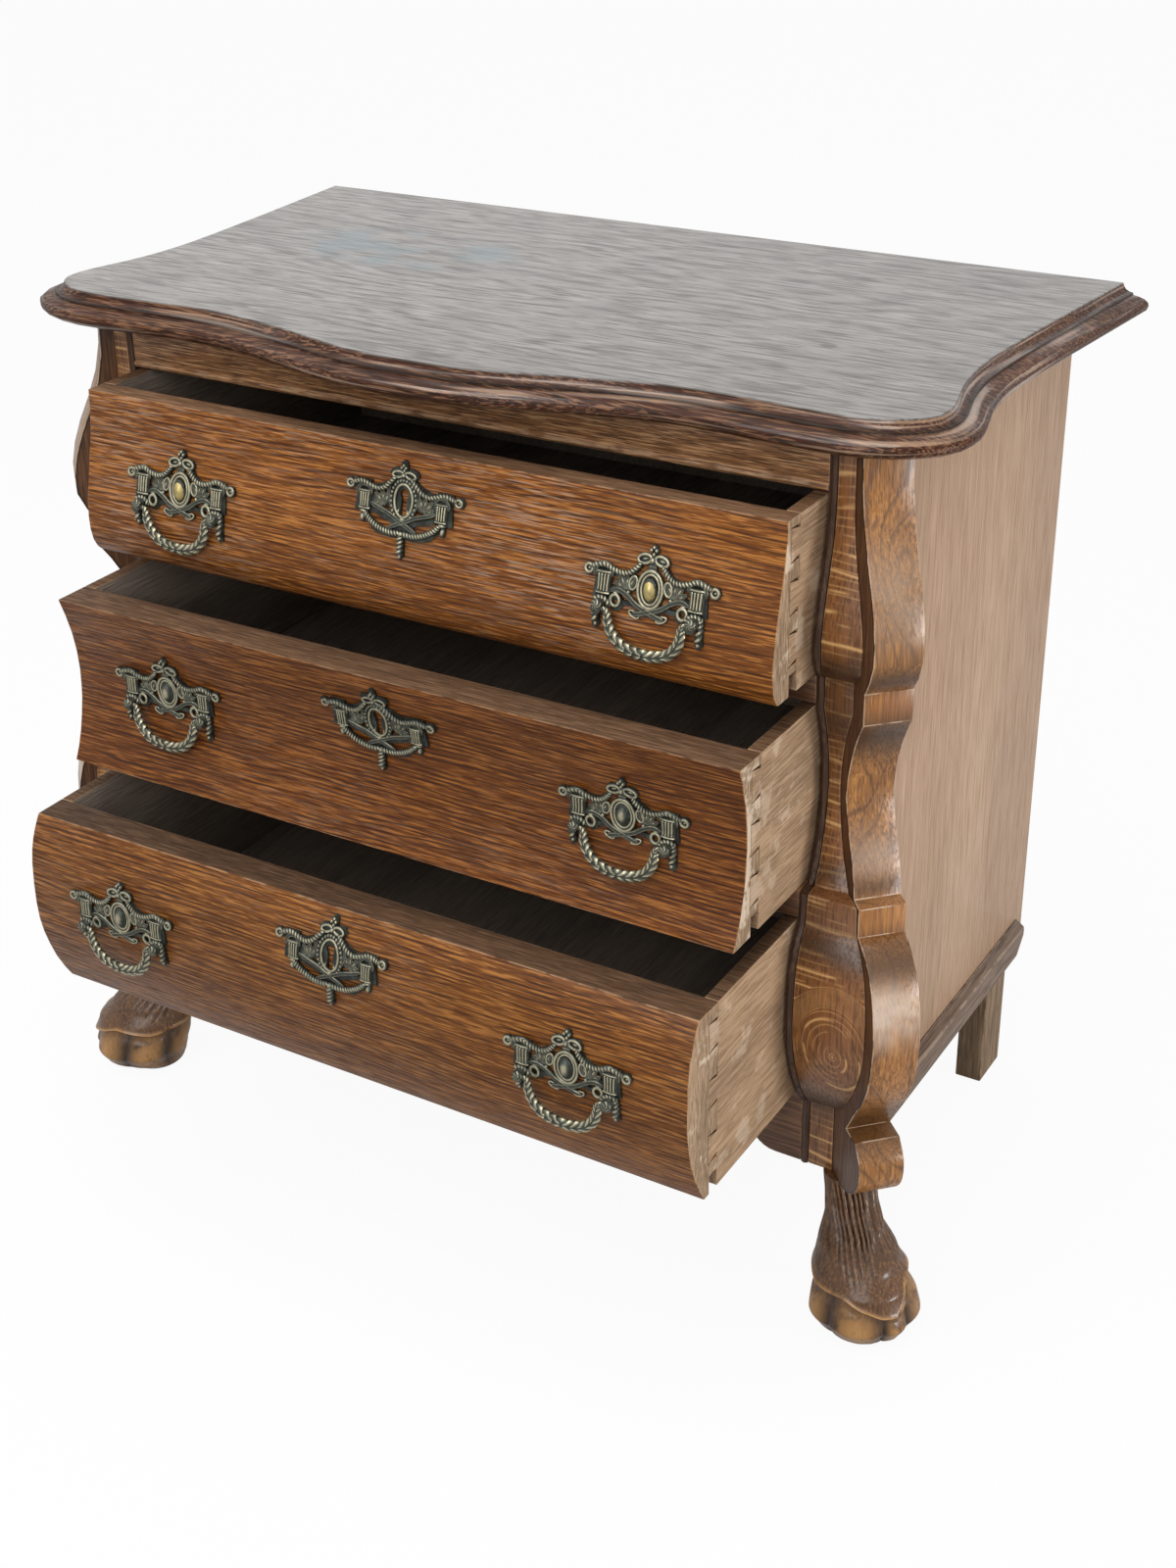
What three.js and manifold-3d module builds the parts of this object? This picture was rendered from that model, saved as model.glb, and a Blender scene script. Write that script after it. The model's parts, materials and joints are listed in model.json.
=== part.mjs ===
// Bombe chest of three drawers: serpentine top, swelling front, canted corner posts,
// carved front feet, pierced handle plates with swing bails.
// Millimetres, +X to the viewer's right, the front faces -Y, +Z up, floor at zero.

import * as THREE from 'three';
import { mergeVertices } from 'three/addons/utils/BufferGeometryUtils.js';
import Module from 'manifold-3d';

const wasm = await Module();
wasm.setup();

// Carcass
const overallHeight = 780;
const carcassWidth = 744;
const carcassDepth = 382;
const legHeight = 125;
const panelThickness = 11;
const panelSetback = 4.5;
const stileWidth = 48;
const frameThickness = 18;
const topRailHeight = 42.5;
const upperRailHeight = 23;
const lowerRailHeight = 25;
const apronHeight = 76.6;
const backThickness = 5;
const backLift = 150;

// Clearances and tool overrun
const jointGap = 0.3;
const runningClearance = 0.5;
const headroom = 2.2;
const sideClearance = 2;
const overrun = 60;
const weldTolerance = 0.0001;

// Top board
const topThickness = 22.5;
const topSideReach = 29;
const topBow = 53;
const topBackOverhang = 12;
const edgeOverhang = 23;

// Front curve, measured forward from the plain front plane
const upperSwell = 19.7;
const upperBandSwell = 9.8;
const coveRecess = 3.6;
const coveFootSwell = 16;
const lowerBandSwell = 28;
const lowerSwell = 48.3;
const lowerFootSwell = 20.6;
const stileFootSwell = 8;
const stileFootDrop = 13;
const bandStepHeight = 3;

// Bead strip along the drawer openings
const beadWidth = 6;
const beadDepth = 9;
const beadStand = 1.6;

// Canted corner post, measured outward from its plain face
const postThickness = 38.5;
const postSetback = 8;
const postDepth = 39;
const postUpperSwell = 36;
const postBandSwell = 22;
const postCoveRecess = 5.8;
const postCoveFootSwell = 20;
const postLowerBandSwell = 31;
const postLowerSwell = 72.5;
const postNeckSwell = 25;
const scrollSwell = 58;
const scrollFootSwell = 22;
const scrollHeight = 62;

// Carved front foot, measured along the diagonal from the carcass corner
const footFrontReach = 83;
const footBackReach = 27;
const footHalfWidth = 46;
const skirtHeight = 47;
const skirtWave = 5;
const skirtLip = 3;
const toeSwell = 2.5;
const footTurnIn = 4;

// Rear leg and rails between the rear legs
const rearLegWidth = 26;
const rearLegDepth = 48;
const rearRailThickness = 20;
const rearBottomRailHeight = 31;

// Base strip on the side panels
const stripThickness = 9;
const stripHeight = 32;
const stripLift = 18;
const stripBevel = 7;
const stripEndBevel = 16;
const stripStop = 16;

// Apron under the bottom drawer
const apronThickness = 20;
const apronRise = 36;
const apronLobe = 24;
const apronSlope = 52;

// Runners
const runnerReach = 18;
const runnerThickness = 20;
const guideHeight = 14;
const guideClearance = 2.5;

// Drawers, from the top one down
const drawerNames = ['top', 'middle', 'bottom'];
const topDrawerHeight = 138;
const middleDrawerHeight = 149;
const bottomDrawerHeight = 170;
const topDrawnOut = 61;
const middleDrawnOut = 119;
const bottomDrawnOut = 157;
const frontThinnest = 20;
const drawerBackClearance = 13;
const sideThickness = 12;
const drawerBackThickness = 12;
const drawerBackDrop = 6;
const bottomThickness = 5;
const bottomLift = 9;
const grooveDepth = 6;
const tailCount = 3;
const tailLength = 14;
const tailRoot = 20;
const tailSplay = 3;
const notchHeight = 17;
const notchDepth = 12;

// Handle plates and escutcheons
const plateThickness = 2.2;
const topHandleDrop = 66.8;
const middleHandleDrop = 67;
const bottomHandleDrop = 63.7;
const handleInset = 102;
const topKeyDrop = 40;
const middleKeyDrop = 41.5;
const bottomKeyDrop = 36;
const shieldHalfWidth = 11;
const shieldHalfHeight = 15;
const domeHalfWidth = 6.5;
const domeHalfHeight = 10.5;
const domeStand = 3.5;
const bowHalfWidth = 6.8;
const bowHalfHeight = 4.4;
const bowHeight = 21.5;
const budRadius = 3.3;
const budHeight = 29;
const blockWidth = 15;
const blockHeight = 24;
const blockOffset = 40;
const ballRadius = 4.5;
const ballOffset = 52;
const ballHeight = 7;
const swagWidth = 4.5;
const ribbonWidth = 3.6;
const ribbonSpread = 11.5;
const ribbonDrop = 20.5;
const ringOuter = 6.4;
const ringInner = 2.8;
const ringOffset = 27.5;
const ringDrop = 13.5;
const tasselWidth = 6.4;
const tasselOffset = 43;
const tasselDrop = 35.5;
const keyRingHalfWidth = 10;
const keyRingHalfHeight = 17;
const keyEyeRadius = 4.2;
const keySlotWidth = 5;
const keySlotLength = 12;
const keyBlockOffset = 38;
const keyBallOffset = 51;
const keyGarlandDrop = 26;
const keyTasselDrop = 44;

// Bail posts and bails
const bailPostRadius = 4.2;
const bailPostOffset = 39;
const pivotDrop = 17;
const pivotStand = 6.5;
const postCap = 3.4;
const pinRadius = 1.9;
const pinClearance = 0.4;
const pinEngagement = 5.6;
const bailHalfWidth = 30.4;
const bailDrop = 30;
const bailNeckRadius = 2.4;
const bailBellyRadius = 4.4;
const bailFlatness = 0.78;
const bailWoodClearance = 0.8;

// Facets
const zoneSteps = 10;
const lowerZoneSteps = 13;
const outlineStepsPerPoint = 2;
const footSides = 22;
const skirtRows = 5;
const ovalSides = 12;
const smallSides = 7;
const swagSteps = 3;
const bailSides = 7;
const bailRings = 16;

// Curves as shares: first the way down a drawer's height, then the way from the least
// swell of that stretch to its greatest
const upperBulgeShares = [[0, 0.02], [0.21, 0.14], [0.45, 0.54], [0.67, 0.91], [0.82, 1], [0.94, 0.84]];
const coveShares = [[0.15, 0.32], [0.29, 0.09], [0.44, 0], [0.56, 0.045], [0.66, 0.14], [0.79, 0.37], [0.9, 0.64]];
const lowerBulgeShares = [
  [0, 0.62], [0.05, 0.73], [0.13, 0.86], [0.235, 0.95], [0.42, 1], [0.58, 0.98], [0.72, 0.87], [0.87, 0.68],
];
const postUpperShares = [[-0.24, 0], [0, 0.085], [0.235, 0.4], [0.448, 0.77], [0.65, 1], [0.82, 1], [0.96, 0.72]];
const postCoveShares = [[0.13, 0.6], [0.31, 0.19], [0.49, 0], [0.66, 0.33], [0.855, 0.81]];
const postLowerShares = [
  [0, 0.46], [0.06, 0.68], [0.16, 0.865], [0.325, 0.975], [0.51, 1], [0.75, 0.87], [0.92, 0.6],
];
const scrollShares = [[0, 0.78], [0.2, 0.97], [0.42, 1], [0.66, 0.93], [0.86, 0.74], [0.96, 0.55]];

// Top outline of the flat surface, right half: share of the half width, then share of
// the bow forward, and share of the half width, then share of the reach backward
const topFrontShares = [
  [0, 1], [0.09, 0.99], [0.19, 0.86], [0.35, 0.53], [0.5, 0.31], [0.62, 0.275], [0.76, 0.35], [0.86, 0.38],
  [0.935, 0.24],
];
const topSideShares = [
  [0.987, 0.008], [1, 0.05], [0.996, 0.1], [0.972, 0.19], [0.957, 0.28], [0.953, 0.39], [0.963, 0.57],
  [0.98, 0.78], [1, 1],
];

// Moulded rim: share of the overhang outward, then share of the thickness downward
const rimShares = [
  [0, 0], [0.045, 0.1], [0.12, 0.22], [0.26, 0.295], [0.39, 0.32], [0.41, 0.4], [0.61, 0.44], [0.83, 0.51],
  [0.97, 0.62], [1, 0.74], [0.94, 0.9], [0.8, 1],
];

// Foot from the ankle down: shares of its height, front reach, back reach and half width
const footShares = [
  [1, 0.13, 1, 0.48], [0.84, 0.27, 0.95, 0.475], [0.68, 0.48, 0.9, 0.51], [0.52, 0.74, 0.8, 0.69],
  [0.4, 0.92, 0.7, 0.84], [0.28, 0.98, 0.5, 0.96], [0.16, 1, 0.3, 1], [0.064, 0.92, 0.2, 0.85],
  [0, 0.66, 0.1, 0.71],
];

// Toes below the skirt: shares of the way down to the sole
const toeRowShares = [0, 0.3, 0.6, 0.85, 1];

// Half of the bail's hanging curve: share of its half width, then share of its drop
const bailShares = [[1.01, 0.13], [0.985, 0.36], [0.87, 0.63], [0.62, 0.87], [0.3, 0.975], [0, 1]];

// Colours
const finishes = {
  topOak: { color: 0x77695e, roughness: 0.35, metalness: 0 },
  frontOak: { color: 0x84502f, roughness: 0.45, metalness: 0 },
  frameOak: { color: 0x6b4326, roughness: 0.45, metalness: 0 },
  postOak: { color: 0x8a6038, roughness: 0.45, metalness: 0 },
  panelOak: { color: 0x9a8274, roughness: 0.55, metalness: 0 },
  rawOak: { color: 0x8d7761, roughness: 0.75, metalness: 0 },
  innerWood: { color: 0x4a3d33, roughness: 0.85, metalness: 0 },
  brass: { color: 0x5c5a3e, roughness: 0.4, metalness: 0.9 },
};

// Heights worked out from the stack of drawers and rails
const topUnderside = overallHeight - topThickness;
const frameTop = topUnderside - jointGap;
const topRailBottom = frameTop - topRailHeight;
const apronTop = legHeight + apronHeight;
const railHeights = [upperRailHeight, lowerRailHeight];
const namedHeights = [topDrawerHeight, middleDrawerHeight, bottomDrawerHeight];
const fitShare = drawerRoom() / namedHeights.reduce((sum, height) => sum + height);
const drawers = stackDrawers();
const handleDrops = [topHandleDrop, middleHandleDrop, bottomHandleDrop].map((drop) => drop * fitShare);
const keyDrops = [topKeyDrop, middleKeyDrop, bottomKeyDrop].map((drop) => drop * fitShare);
const drawnOut = [topDrawnOut, middleDrawnOut, bottomDrawnOut];

// Plan values worked out from the sizes above
const halfCarcass = carcassWidth / 2;
const halfOpening = halfCarcass - stileWidth;
const topHalfWidth = halfCarcass + topSideReach;
const topBackReach = carcassDepth + topBackOverhang;
const panelOuter = halfCarcass - panelSetback;
const panelInner = panelOuter - panelThickness;
const postPlane = (postThickness / 2 + jointGap) * Math.SQRT2;
const backFront = carcassDepth - backThickness;
const rearLegFront = carcassDepth - rearLegDepth;
const rearRailBack = backFront - jointGap;
const rearLegOuter = panelInner - jointGap;
const rearLegInner = rearLegOuter - rearLegWidth;
const drawerHalfWidth = halfOpening - sideClearance;
const handleOffset = drawerHalfWidth - handleInset;
const drawerBack = rearRailBack - drawerBackClearance;

// The height that the rails and clearances leave for the three drawers
function drawerRoom() {
  const rails = railHeights.reduce((sum, height) => sum + height);
  return topRailBottom - apronTop - rails - namedHeights.length * (headroom + runningClearance);
}

// The drawers share that room in the proportion of their own named heights
function stackDrawers() {
  let ceiling = topRailBottom;
  return namedHeights.map((named, i) => {
    const high = ceiling - headroom;
    const height = named * fitShare;
    const low = high - height;
    ceiling = low - runningClearance - (railHeights[i] ?? 0);
    return { high, low, height };
  });
}

// Solids and geometry

function signedVolume(geometry) {
  const corners = geometry.attributes.position;
  const index = geometry.index.array;
  const a = new THREE.Vector3();
  const b = new THREE.Vector3();
  const c = new THREE.Vector3();
  let sum = 0;
  for (let i = 0; i < index.length; i += 3) {
    a.fromBufferAttribute(corners, index[i]);
    b.fromBufferAttribute(corners, index[i + 1]);
    c.fromBufferAttribute(corners, index[i + 2]);
    sum += a.dot(b.cross(c));
  }
  return sum;
}

function closed(geometry) {
  // Keeps the positions only, joins shared corners and turns every face outward
  const bare = new THREE.BufferGeometry();
  const source = geometry.index ? geometry.toNonIndexed() : geometry;
  bare.setAttribute('position', source.attributes.position.clone());
  const merged = mergeVertices(bare, weldTolerance);
  if (signedVolume(merged) < 0) {
    const index = merged.index.array;
    for (let i = 0; i < index.length; i += 3) {
      [index[i], index[i + 1]] = [index[i + 1], index[i]];
    }
  }
  return merged;
}

function toSolid(geometry) {
  const merged = closed(geometry);
  const vertProperties = new Float32Array(merged.attributes.position.array);
  const triVerts = new Uint32Array(merged.index.array);
  return new wasm.Manifold(new wasm.Mesh({ numProp: 3, vertProperties, triVerts }));
}

function toGeometry(solid) {
  const mesh = solid.getMesh();
  const geometry = new THREE.BufferGeometry();
  geometry.setAttribute('position', new THREE.BufferAttribute(mesh.vertProperties, 3));
  geometry.setIndex(new THREE.BufferAttribute(mesh.triVerts, 1));
  return geometry;
}

function joined(...geometries) {
  return toGeometry(geometries.map(toSolid).reduce((whole, next) => whole.add(next)));
}

function cut(geometry, ...tools) {
  return toGeometry(tools.map(toSolid).reduce((rest, tool) => rest.subtract(tool), toSolid(geometry)));
}

function common(first, second) {
  return toGeometry(toSolid(first).intersect(toSolid(second)));
}

function mirrored(geometry) {
  return closed(geometry.clone().scale(-1, 1, 1));
}

function prism(shape, length, xAxis, yAxis, zAxis) {
  const geometry = new THREE.ExtrudeGeometry(shape, { depth: length, bevelEnabled: false, steps: 1 });
  return geometry.applyMatrix4(new THREE.Matrix4().makeBasis(xAxis, yAxis, zAxis));
}

const rightward = new THREE.Vector3(1, 0, 0);
const backward = new THREE.Vector3(0, 1, 0);
const forward = new THREE.Vector3(0, -1, 0);
const upward = new THREE.Vector3(0, 0, 1);

function shapeOf(outline) {
  return outline instanceof THREE.Shape ? outline : new THREE.Shape(outline.map(([a, b]) => new THREE.Vector2(a, b)));
}

// An outline of [y, z] points drawn out from xLow to xHigh
function alongX(outline, xLow, xHigh) {
  return prism(shapeOf(outline), xHigh - xLow, backward, upward, rightward).translate(xLow, 0, 0);
}

// An outline of [x, z] points drawn out from yBack forward to yFront
function alongY(outline, yFront, yBack) {
  return prism(shapeOf(outline), yBack - yFront, rightward, upward, forward).translate(0, yBack, 0);
}

// An outline of [x, y] points drawn out from zLow to zHigh
function alongZ(outline, zLow, zHigh) {
  return prism(shapeOf(outline), zHigh - zLow, rightward, backward, upward).translate(0, 0, zLow);
}

function block([xLow, xHigh], [yLow, yHigh], [zLow, zHigh]) {
  const box = new THREE.BoxGeometry(xHigh - xLow, yHigh - yLow, zHigh - zLow);
  return box.translate((xLow + xHigh) / 2, (yLow + yHigh) / 2, (zLow + zHigh) / 2);
}

// A closed skin over rings of equal count, its two ends filled from their middles
function loft(rings) {
  const count = rings[0].length;
  const positions = [];
  const push = (...points) => points.forEach((p) => positions.push(p.x, p.y, p.z));
  for (let r = 0; r + 1 < rings.length; r += 1) {
    for (let i = 0; i < count; i += 1) {
      const j = (i + 1) % count;
      push(rings[r][i], rings[r][j], rings[r + 1][j]);
      push(rings[r][i], rings[r + 1][j], rings[r + 1][i]);
    }
  }
  for (const [ring, turned] of [[rings[0], true], [rings[rings.length - 1], false]]) {
    const middle = ring.reduce((sum, p) => sum.add(p), new THREE.Vector3()).divideScalar(count);
    for (let i = 0; i < count; i += 1) {
      const j = (i + 1) % count;
      push(middle, turned ? ring[j] : ring[i], turned ? ring[i] : ring[j]);
    }
  }
  const geometry = new THREE.BufferGeometry();
  geometry.setAttribute('position', new THREE.Float32BufferAttribute(positions, 3));
  return closed(geometry);
}

function oval(x, z, halfWidth, halfHeight, sides) {
  return Array.from({ length: sides }, (_, i) => {
    const angle = (2 * Math.PI * i) / sides;
    return [x + halfWidth * Math.cos(angle), z + halfHeight * Math.sin(angle)];
  });
}

// A band of even width along a smooth line of [x, z] points
function band(points, width, steps) {
  const line = new THREE.SplineCurve(points.map(([x, z]) => new THREE.Vector2(x, z)));
  const left = [];
  const right = [];
  for (let i = 0; i <= steps; i += 1) {
    const middle = line.getPoint(i / steps);
    const along = line.getTangent(i / steps);
    left.push([middle.x - (along.y * width) / 2, middle.y + (along.x * width) / 2]);
    right.unshift([middle.x + (along.y * width) / 2, middle.y - (along.x * width) / 2]);
  }
  return [...left, ...right];
}

function mirrorOutline(outline) {
  return outline.map(([x, z]) => [-x, z]).reverse();
}

// Front curve

// A smooth run of [swell, z] points down one drawer's height
function curveDown(drawer, shares, least, greatest, steps, endSwell, startSwell) {
  const points = shares.map(([down, out]) => (
    new THREE.Vector2(least + (greatest - least) * out, drawer.high - drawer.height * down)
  ));
  if (startSwell !== undefined) {
    points.unshift(new THREE.Vector2(startSwell, drawer.high));
  }
  points.push(new THREE.Vector2(endSwell, drawer.low));
  return new THREE.SplineCurve(points).getPoints(steps).map((p) => [p.x, p.y]);
}

const drawerCurves = [
  curveDown(drawers[0], upperBulgeShares, 0, upperSwell, zoneSteps, upperBandSwell),
  curveDown(drawers[1], coveShares, -coveRecess, coveFootSwell, zoneSteps, coveFootSwell, upperBandSwell),
  curveDown(drawers[2], lowerBulgeShares, 0, lowerSwell, lowerZoneSteps, lowerFootSwell),
];

function frontCurve() {
  const stileFoot = drawers[2].low - stileFootDrop;
  return [
    [0, frameTop],
    ...drawerCurves[0],
    ...drawerCurves[1],
    [lowerBandSwell, drawers[1].low - bandStepHeight],
    ...drawerCurves[2],
    [stileFootSwell + (lowerFootSwell - stileFootSwell) / 2, stileFoot + stileFootDrop / 3],
    [stileFootSwell, stileFoot],
    [stileFootSwell, legHeight],
  ];
}

function swellAt(curve, z) {
  for (let i = 0; i + 1 < curve.length; i += 1) {
    const [highSwell, high] = curve[i];
    const [lowSwell, low] = curve[i + 1];
    if (z <= high && z >= low && high > low) {
      return highSwell + ((lowSwell - highSwell) * (high - z)) / (high - low);
    }
  }
  return curve[curve.length - 1][0];
}

// The outline between a front curve, moved forward by ahead, and a flat or moved back line
function behindCurve(curve, ahead, backY) {
  const front = curve.map(([swell, z]) => [-(swell + ahead), z]);
  return [...front, [backY, curve[curve.length - 1][1]], [backY, curve[0][1]]];
}

function betweenCurves(curve, ahead, behind) {
  const front = curve.map(([swell, z]) => [-(swell + ahead), z]);
  const rear = curve.map(([swell, z]) => [-(swell + behind), z]);
  return [...front, ...rear.reverse()];
}

// Carcass pieces, each for the right-hand side where there are two

function sideOutline() {
  const ends = topSideShares.map(([x, y]) => new THREE.Vector2(x * topHalfWidth, y * topBackReach));
  const fronts = topFrontShares.map(([x, y]) => new THREE.Vector2(x * topHalfWidth, -y * topBow));
  return new THREE.SplineCurve([...fronts, ...ends]);
}

function topBoard() {
  const curve = sideOutline();
  const steps = (curve.points.length - 1) * outlineStepsPerPoint;
  const half = [];
  for (let i = 0; i <= steps; i += 1) {
    const place = curve.getPoint(i / steps);
    const along = curve.getTangent(i / steps);
    const out = i === steps ? new THREE.Vector2(1, 0) : new THREE.Vector2(along.y, -along.x);
    if (i === 0) {
      out.set(0, -1);
    }
    half.push({ place, out });
  }
  const other = half.slice(1).map(({ place, out }) => ({
    place: new THREE.Vector2(-place.x, place.y),
    out: new THREE.Vector2(-out.x, out.y),
  }));
  const outline = [...half, ...other.reverse()];
  const rings = rimShares.map(([outShare, downShare]) => outline.map(({ place, out }) => {
    const flat = place.clone().addScaledVector(out, edgeOverhang * outShare);
    return new THREE.Vector3(flat.x, flat.y, overallHeight - topThickness * downShare);
  }));
  return loft(rings);
}

function frontStile() {
  const curve = frontCurve();
  const solid = alongX(behindCurve(curve, 0, frameThickness), halfOpening, halfCarcass + overrun);
  const reach = halfCarcass - postPlane;
  const plan = [
    [halfOpening, -2 * overrun],
    [reach + 2 * overrun, -2 * overrun],
    [reach - frameThickness, frameThickness],
    [halfOpening, frameThickness],
  ];
  const rebate = betweenCurves(extended(curve), overrun, -(beadDepth - beadStand + jointGap));
  return cut(
    common(solid, alongZ(plan, 0, overallHeight)),
    alongX(rebate, halfOpening - overrun, halfOpening + beadWidth + jointGap),
  );
}

// The same curve with its ends carried past the piece, for a cutting tool
function extended(curve) {
  const [firstSwell, first] = curve[0];
  const [lastSwell, last] = curve[curve.length - 1];
  return [[firstSwell, first + overrun], ...curve, [lastSwell, last - overrun]];
}

function openingBead() {
  const roundShares = [[0, 0.16], [0.5, 0], [1, 0.16]];
  const rings = frontCurve().map(([swell, z]) => {
    const front = roundShares.map(([across, back]) => new THREE.Vector3(
      halfOpening + beadWidth * across,
      -(swell + beadStand) + beadDepth * back,
      z,
    ));
    const rear = -(swell + beadStand) + beadDepth;
    return [
      ...front,
      new THREE.Vector3(halfOpening + beadWidth, rear, z),
      new THREE.Vector3(halfOpening, rear, z),
    ];
  });
  return loft(rings);
}

function postCurve() {
  const scrollTop = legHeight + scrollHeight;
  const scroll = scrollShares.map(([down, out]) => (
    new THREE.Vector2(scrollSwell * out, scrollTop - scrollHeight * down)
  ));
  return [
    [0, frameTop],
    ...curveDown(drawers[0], postUpperShares, 0, postUpperSwell, zoneSteps, postBandSwell - 1.5 * jointGap),
    [postBandSwell, drawers[0].low],
    [postBandSwell, drawers[1].high],
    ...curveDown(drawers[1], postCoveShares, -postCoveRecess, postCoveFootSwell, zoneSteps, postCoveFootSwell,
      postBandSwell).slice(1),
    [postLowerBandSwell, drawers[1].low - bandStepHeight],
    [postLowerBandSwell, drawers[2].high],
    ...curveDown(drawers[2], postLowerShares, 0, postLowerSwell, lowerZoneSteps, postNeckSwell * 1.4),
    [postNeckSwell, scrollTop],
    ...new THREE.SplineCurve(scroll).getPoints(2 * scroll.length).map((p) => [p.x, p.y]),
    [scrollFootSwell, legHeight],
  ];
}

// In the corner's own axes: x outward along the diagonal, y across it
function cornerPost() {
  const curve = postCurve();
  const outline = curve.map(([swell, z]) => [swell - postSetback, z]);
  const back = -postSetback - postDepth;
  outline.push([back, legHeight], [back, frameTop]);
  return alongY(outline, -postThickness / 2, postThickness / 2);
}

function footSection(z) {
  const share = z / (legHeight - jointGap);
  const below = Math.max(1, footShares.findIndex(([height]) => height <= share));
  const [high, ...upper] = footShares[below - 1];
  const [low, ...lower] = footShares[below];
  const [front, back, half] = upper.map((value, i) => (
    value + ((lower[i] - value) * (high - share)) / (high - low)
  ));
  return { front: footFrontReach * front, back: -footBackReach * back, half: footHalfWidth * half };
}

// In the corner's own axes, with a scalloped skirt that overhangs the toes
function frontFoot() {
  const footTop = legHeight - jointGap;
  const angles = Array.from({ length: footSides }, (_, i) => wrapped((2 * Math.PI * i) / footSides));
  const edgeAt = (angle) => skirtHeight - skirtWave * Math.cos(3.8 * angle);
  const place = (angle, z, swell) => {
    const { front, back, half } = footSection(z);
    return new THREE.Vector3(
      (front + back) / 2 + ((front - back) / 2 + swell) * Math.cos(angle),
      (half + swell) * Math.sin(angle),
      z,
    );
  };
  const rings = [];
  for (let row = 0; row <= skirtRows; row += 1) {
    rings.push(angles.map((angle) => place(angle, footTop + ((edgeAt(angle) - footTop) * row) / skirtRows, 0)));
  }
  for (const down of toeRowShares) {
    rings.push(angles.map((angle) => {
      const toe = toeSwell * Math.cos(6 * angle) * Math.sin(Math.PI * down);
      const z = (edgeAt(angle) - skirtLip / 2) * (1 - down);
      return place(angle, z, toe - skirtLip * (1 - down));
    }));
  }
  return loft(rings);
}

function wrapped(angle) {
  return angle > Math.PI ? angle - 2 * Math.PI : angle;
}

function sidePanel() {
  const reach = halfCarcass + postPlane;
  const plan = [
    [panelOuter, reach - panelOuter],
    [panelOuter, carcassDepth],
    [panelInner, carcassDepth],
    [panelInner, reach - panelInner],
  ];
  return alongZ(plan, legHeight + stripLift, frameTop);
}

function baseStrip() {
  const inner = panelOuter + jointGap;
  const outer = inner + stripThickness;
  const low = legHeight + stripLift;
  const tail = carcassDepth - stripStop;
  const reach = halfCarcass + postPlane;
  const section = [
    [inner, low],
    [outer, low],
    [outer, low + stripHeight - stripBevel],
    [inner, low + stripHeight],
  ];
  const bar = alongY(section, -overrun, tail);
  const near = inner - overrun;
  const plan = [
    [reach + overrun, -overrun],
    [reach + overrun, tail + overrun],
    [near, tail + overrun],
    [near, reach - near],
  ];
  const corner = [
    [tail - stripEndBevel, low - overrun],
    [tail + overrun, low - overrun],
    [tail + overrun, low + stripEndBevel + overrun],
    [tail, low + stripEndBevel],
    [tail - stripEndBevel, low],
  ];
  return cut(common(bar, alongZ(plan, 0, overallHeight)), alongX(corner, inner - overrun, outer + overrun));
}

function topRail() {
  const low = topRailBottom;
  const quarter = beadWidth / 4;
  const outline = [
    [frameThickness, frameTop],
    [0, frameTop],
    [0, low + beadWidth + quarter],
    [quarter / 2, low + beadWidth],
    [-beadStand * 0.7, low + 3 * quarter],
    [-beadStand, low + 2 * quarter],
    [-beadStand * 0.7, low + quarter],
    [0, low],
    [frameThickness, low],
  ];
  return alongX(outline, -halfOpening + jointGap, halfOpening - jointGap);
}

function drawerRail(index) {
  const high = drawers[index].low - runningClearance;
  const front = [upperBandSwell, lowerBandSwell][index];
  const half = halfOpening - jointGap;
  return block([-half, half], [-front, frameThickness], [high - railHeights[index], high]);
}

function apron() {
  const half = halfOpening - jointGap;
  const arch = legHeight + apronRise;
  const shape = new THREE.Shape();
  shape.moveTo(-half, apronTop);
  shape.lineTo(-half, legHeight);
  shape.lineTo(-half + apronLobe, legHeight);
  const start = -half + apronLobe;
  const middle = start + apronSlope;
  shape.bezierCurveTo(start + apronSlope / 2, legHeight, start + apronSlope / 2, arch, middle, arch);
  shape.lineTo(-middle, arch);
  shape.bezierCurveTo(-start - apronSlope / 2, arch, -start - apronSlope / 2, legHeight, -start, legHeight);
  shape.lineTo(half, legHeight);
  shape.lineTo(half, apronTop);
  shape.closePath();
  return alongY(shape, -stileFootSwell, apronThickness - stileFootSwell);
}

function rearLeg() {
  return block([rearLegInner, rearLegOuter], [rearLegFront, carcassDepth], [0, frameTop]);
}

function rearRail(low, high) {
  const half = rearLegInner - jointGap;
  return block([-half, half], [rearRailBack - rearRailThickness, rearRailBack], [low, high]);
}

function backPanel() {
  const half = rearLegInner - jointGap;
  return block([-half, half], [backFront, carcassDepth], [backLift, frameTop]);
}

// A runner under the drawer's side with a guide beside it, clear of the post's back
function runner(drawer) {
  const inner = halfOpening - runnerReach;
  const outer = panelInner - jointGap;
  const front = frameThickness + jointGap;
  const end = rearLegFront - jointGap;
  const postBack = (postSetback + postDepth) * Math.SQRT2 + 2 * jointGap;
  const shoulder = halfCarcass - postBack + front;
  const inset = (postSetback + postDepth - postThickness / 2) / Math.SQRT2;
  const cheek = halfCarcass - inset;
  const cheekBack = cheek - halfCarcass + postBack;
  const high = drawer.low - jointGap;
  const plan = [
    [inner, front],
    [shoulder, front],
    [cheek, cheekBack],
    [outer, cheekBack],
    [outer, end],
    [inner, end],
  ];
  const guide = [
    [halfOpening + guideClearance - sideClearance, outer],
    [cheekBack, end],
    [high - runnerThickness / 2, high + guideHeight],
  ];
  return joined(alongZ(plan, high - runnerThickness, high), block(...guide));
}

// Drawer pieces, in the closed place

function rearPlane(index) {
  return frontThinnest - Math.min(...drawerCurves[index].map(([swell]) => swell));
}

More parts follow.
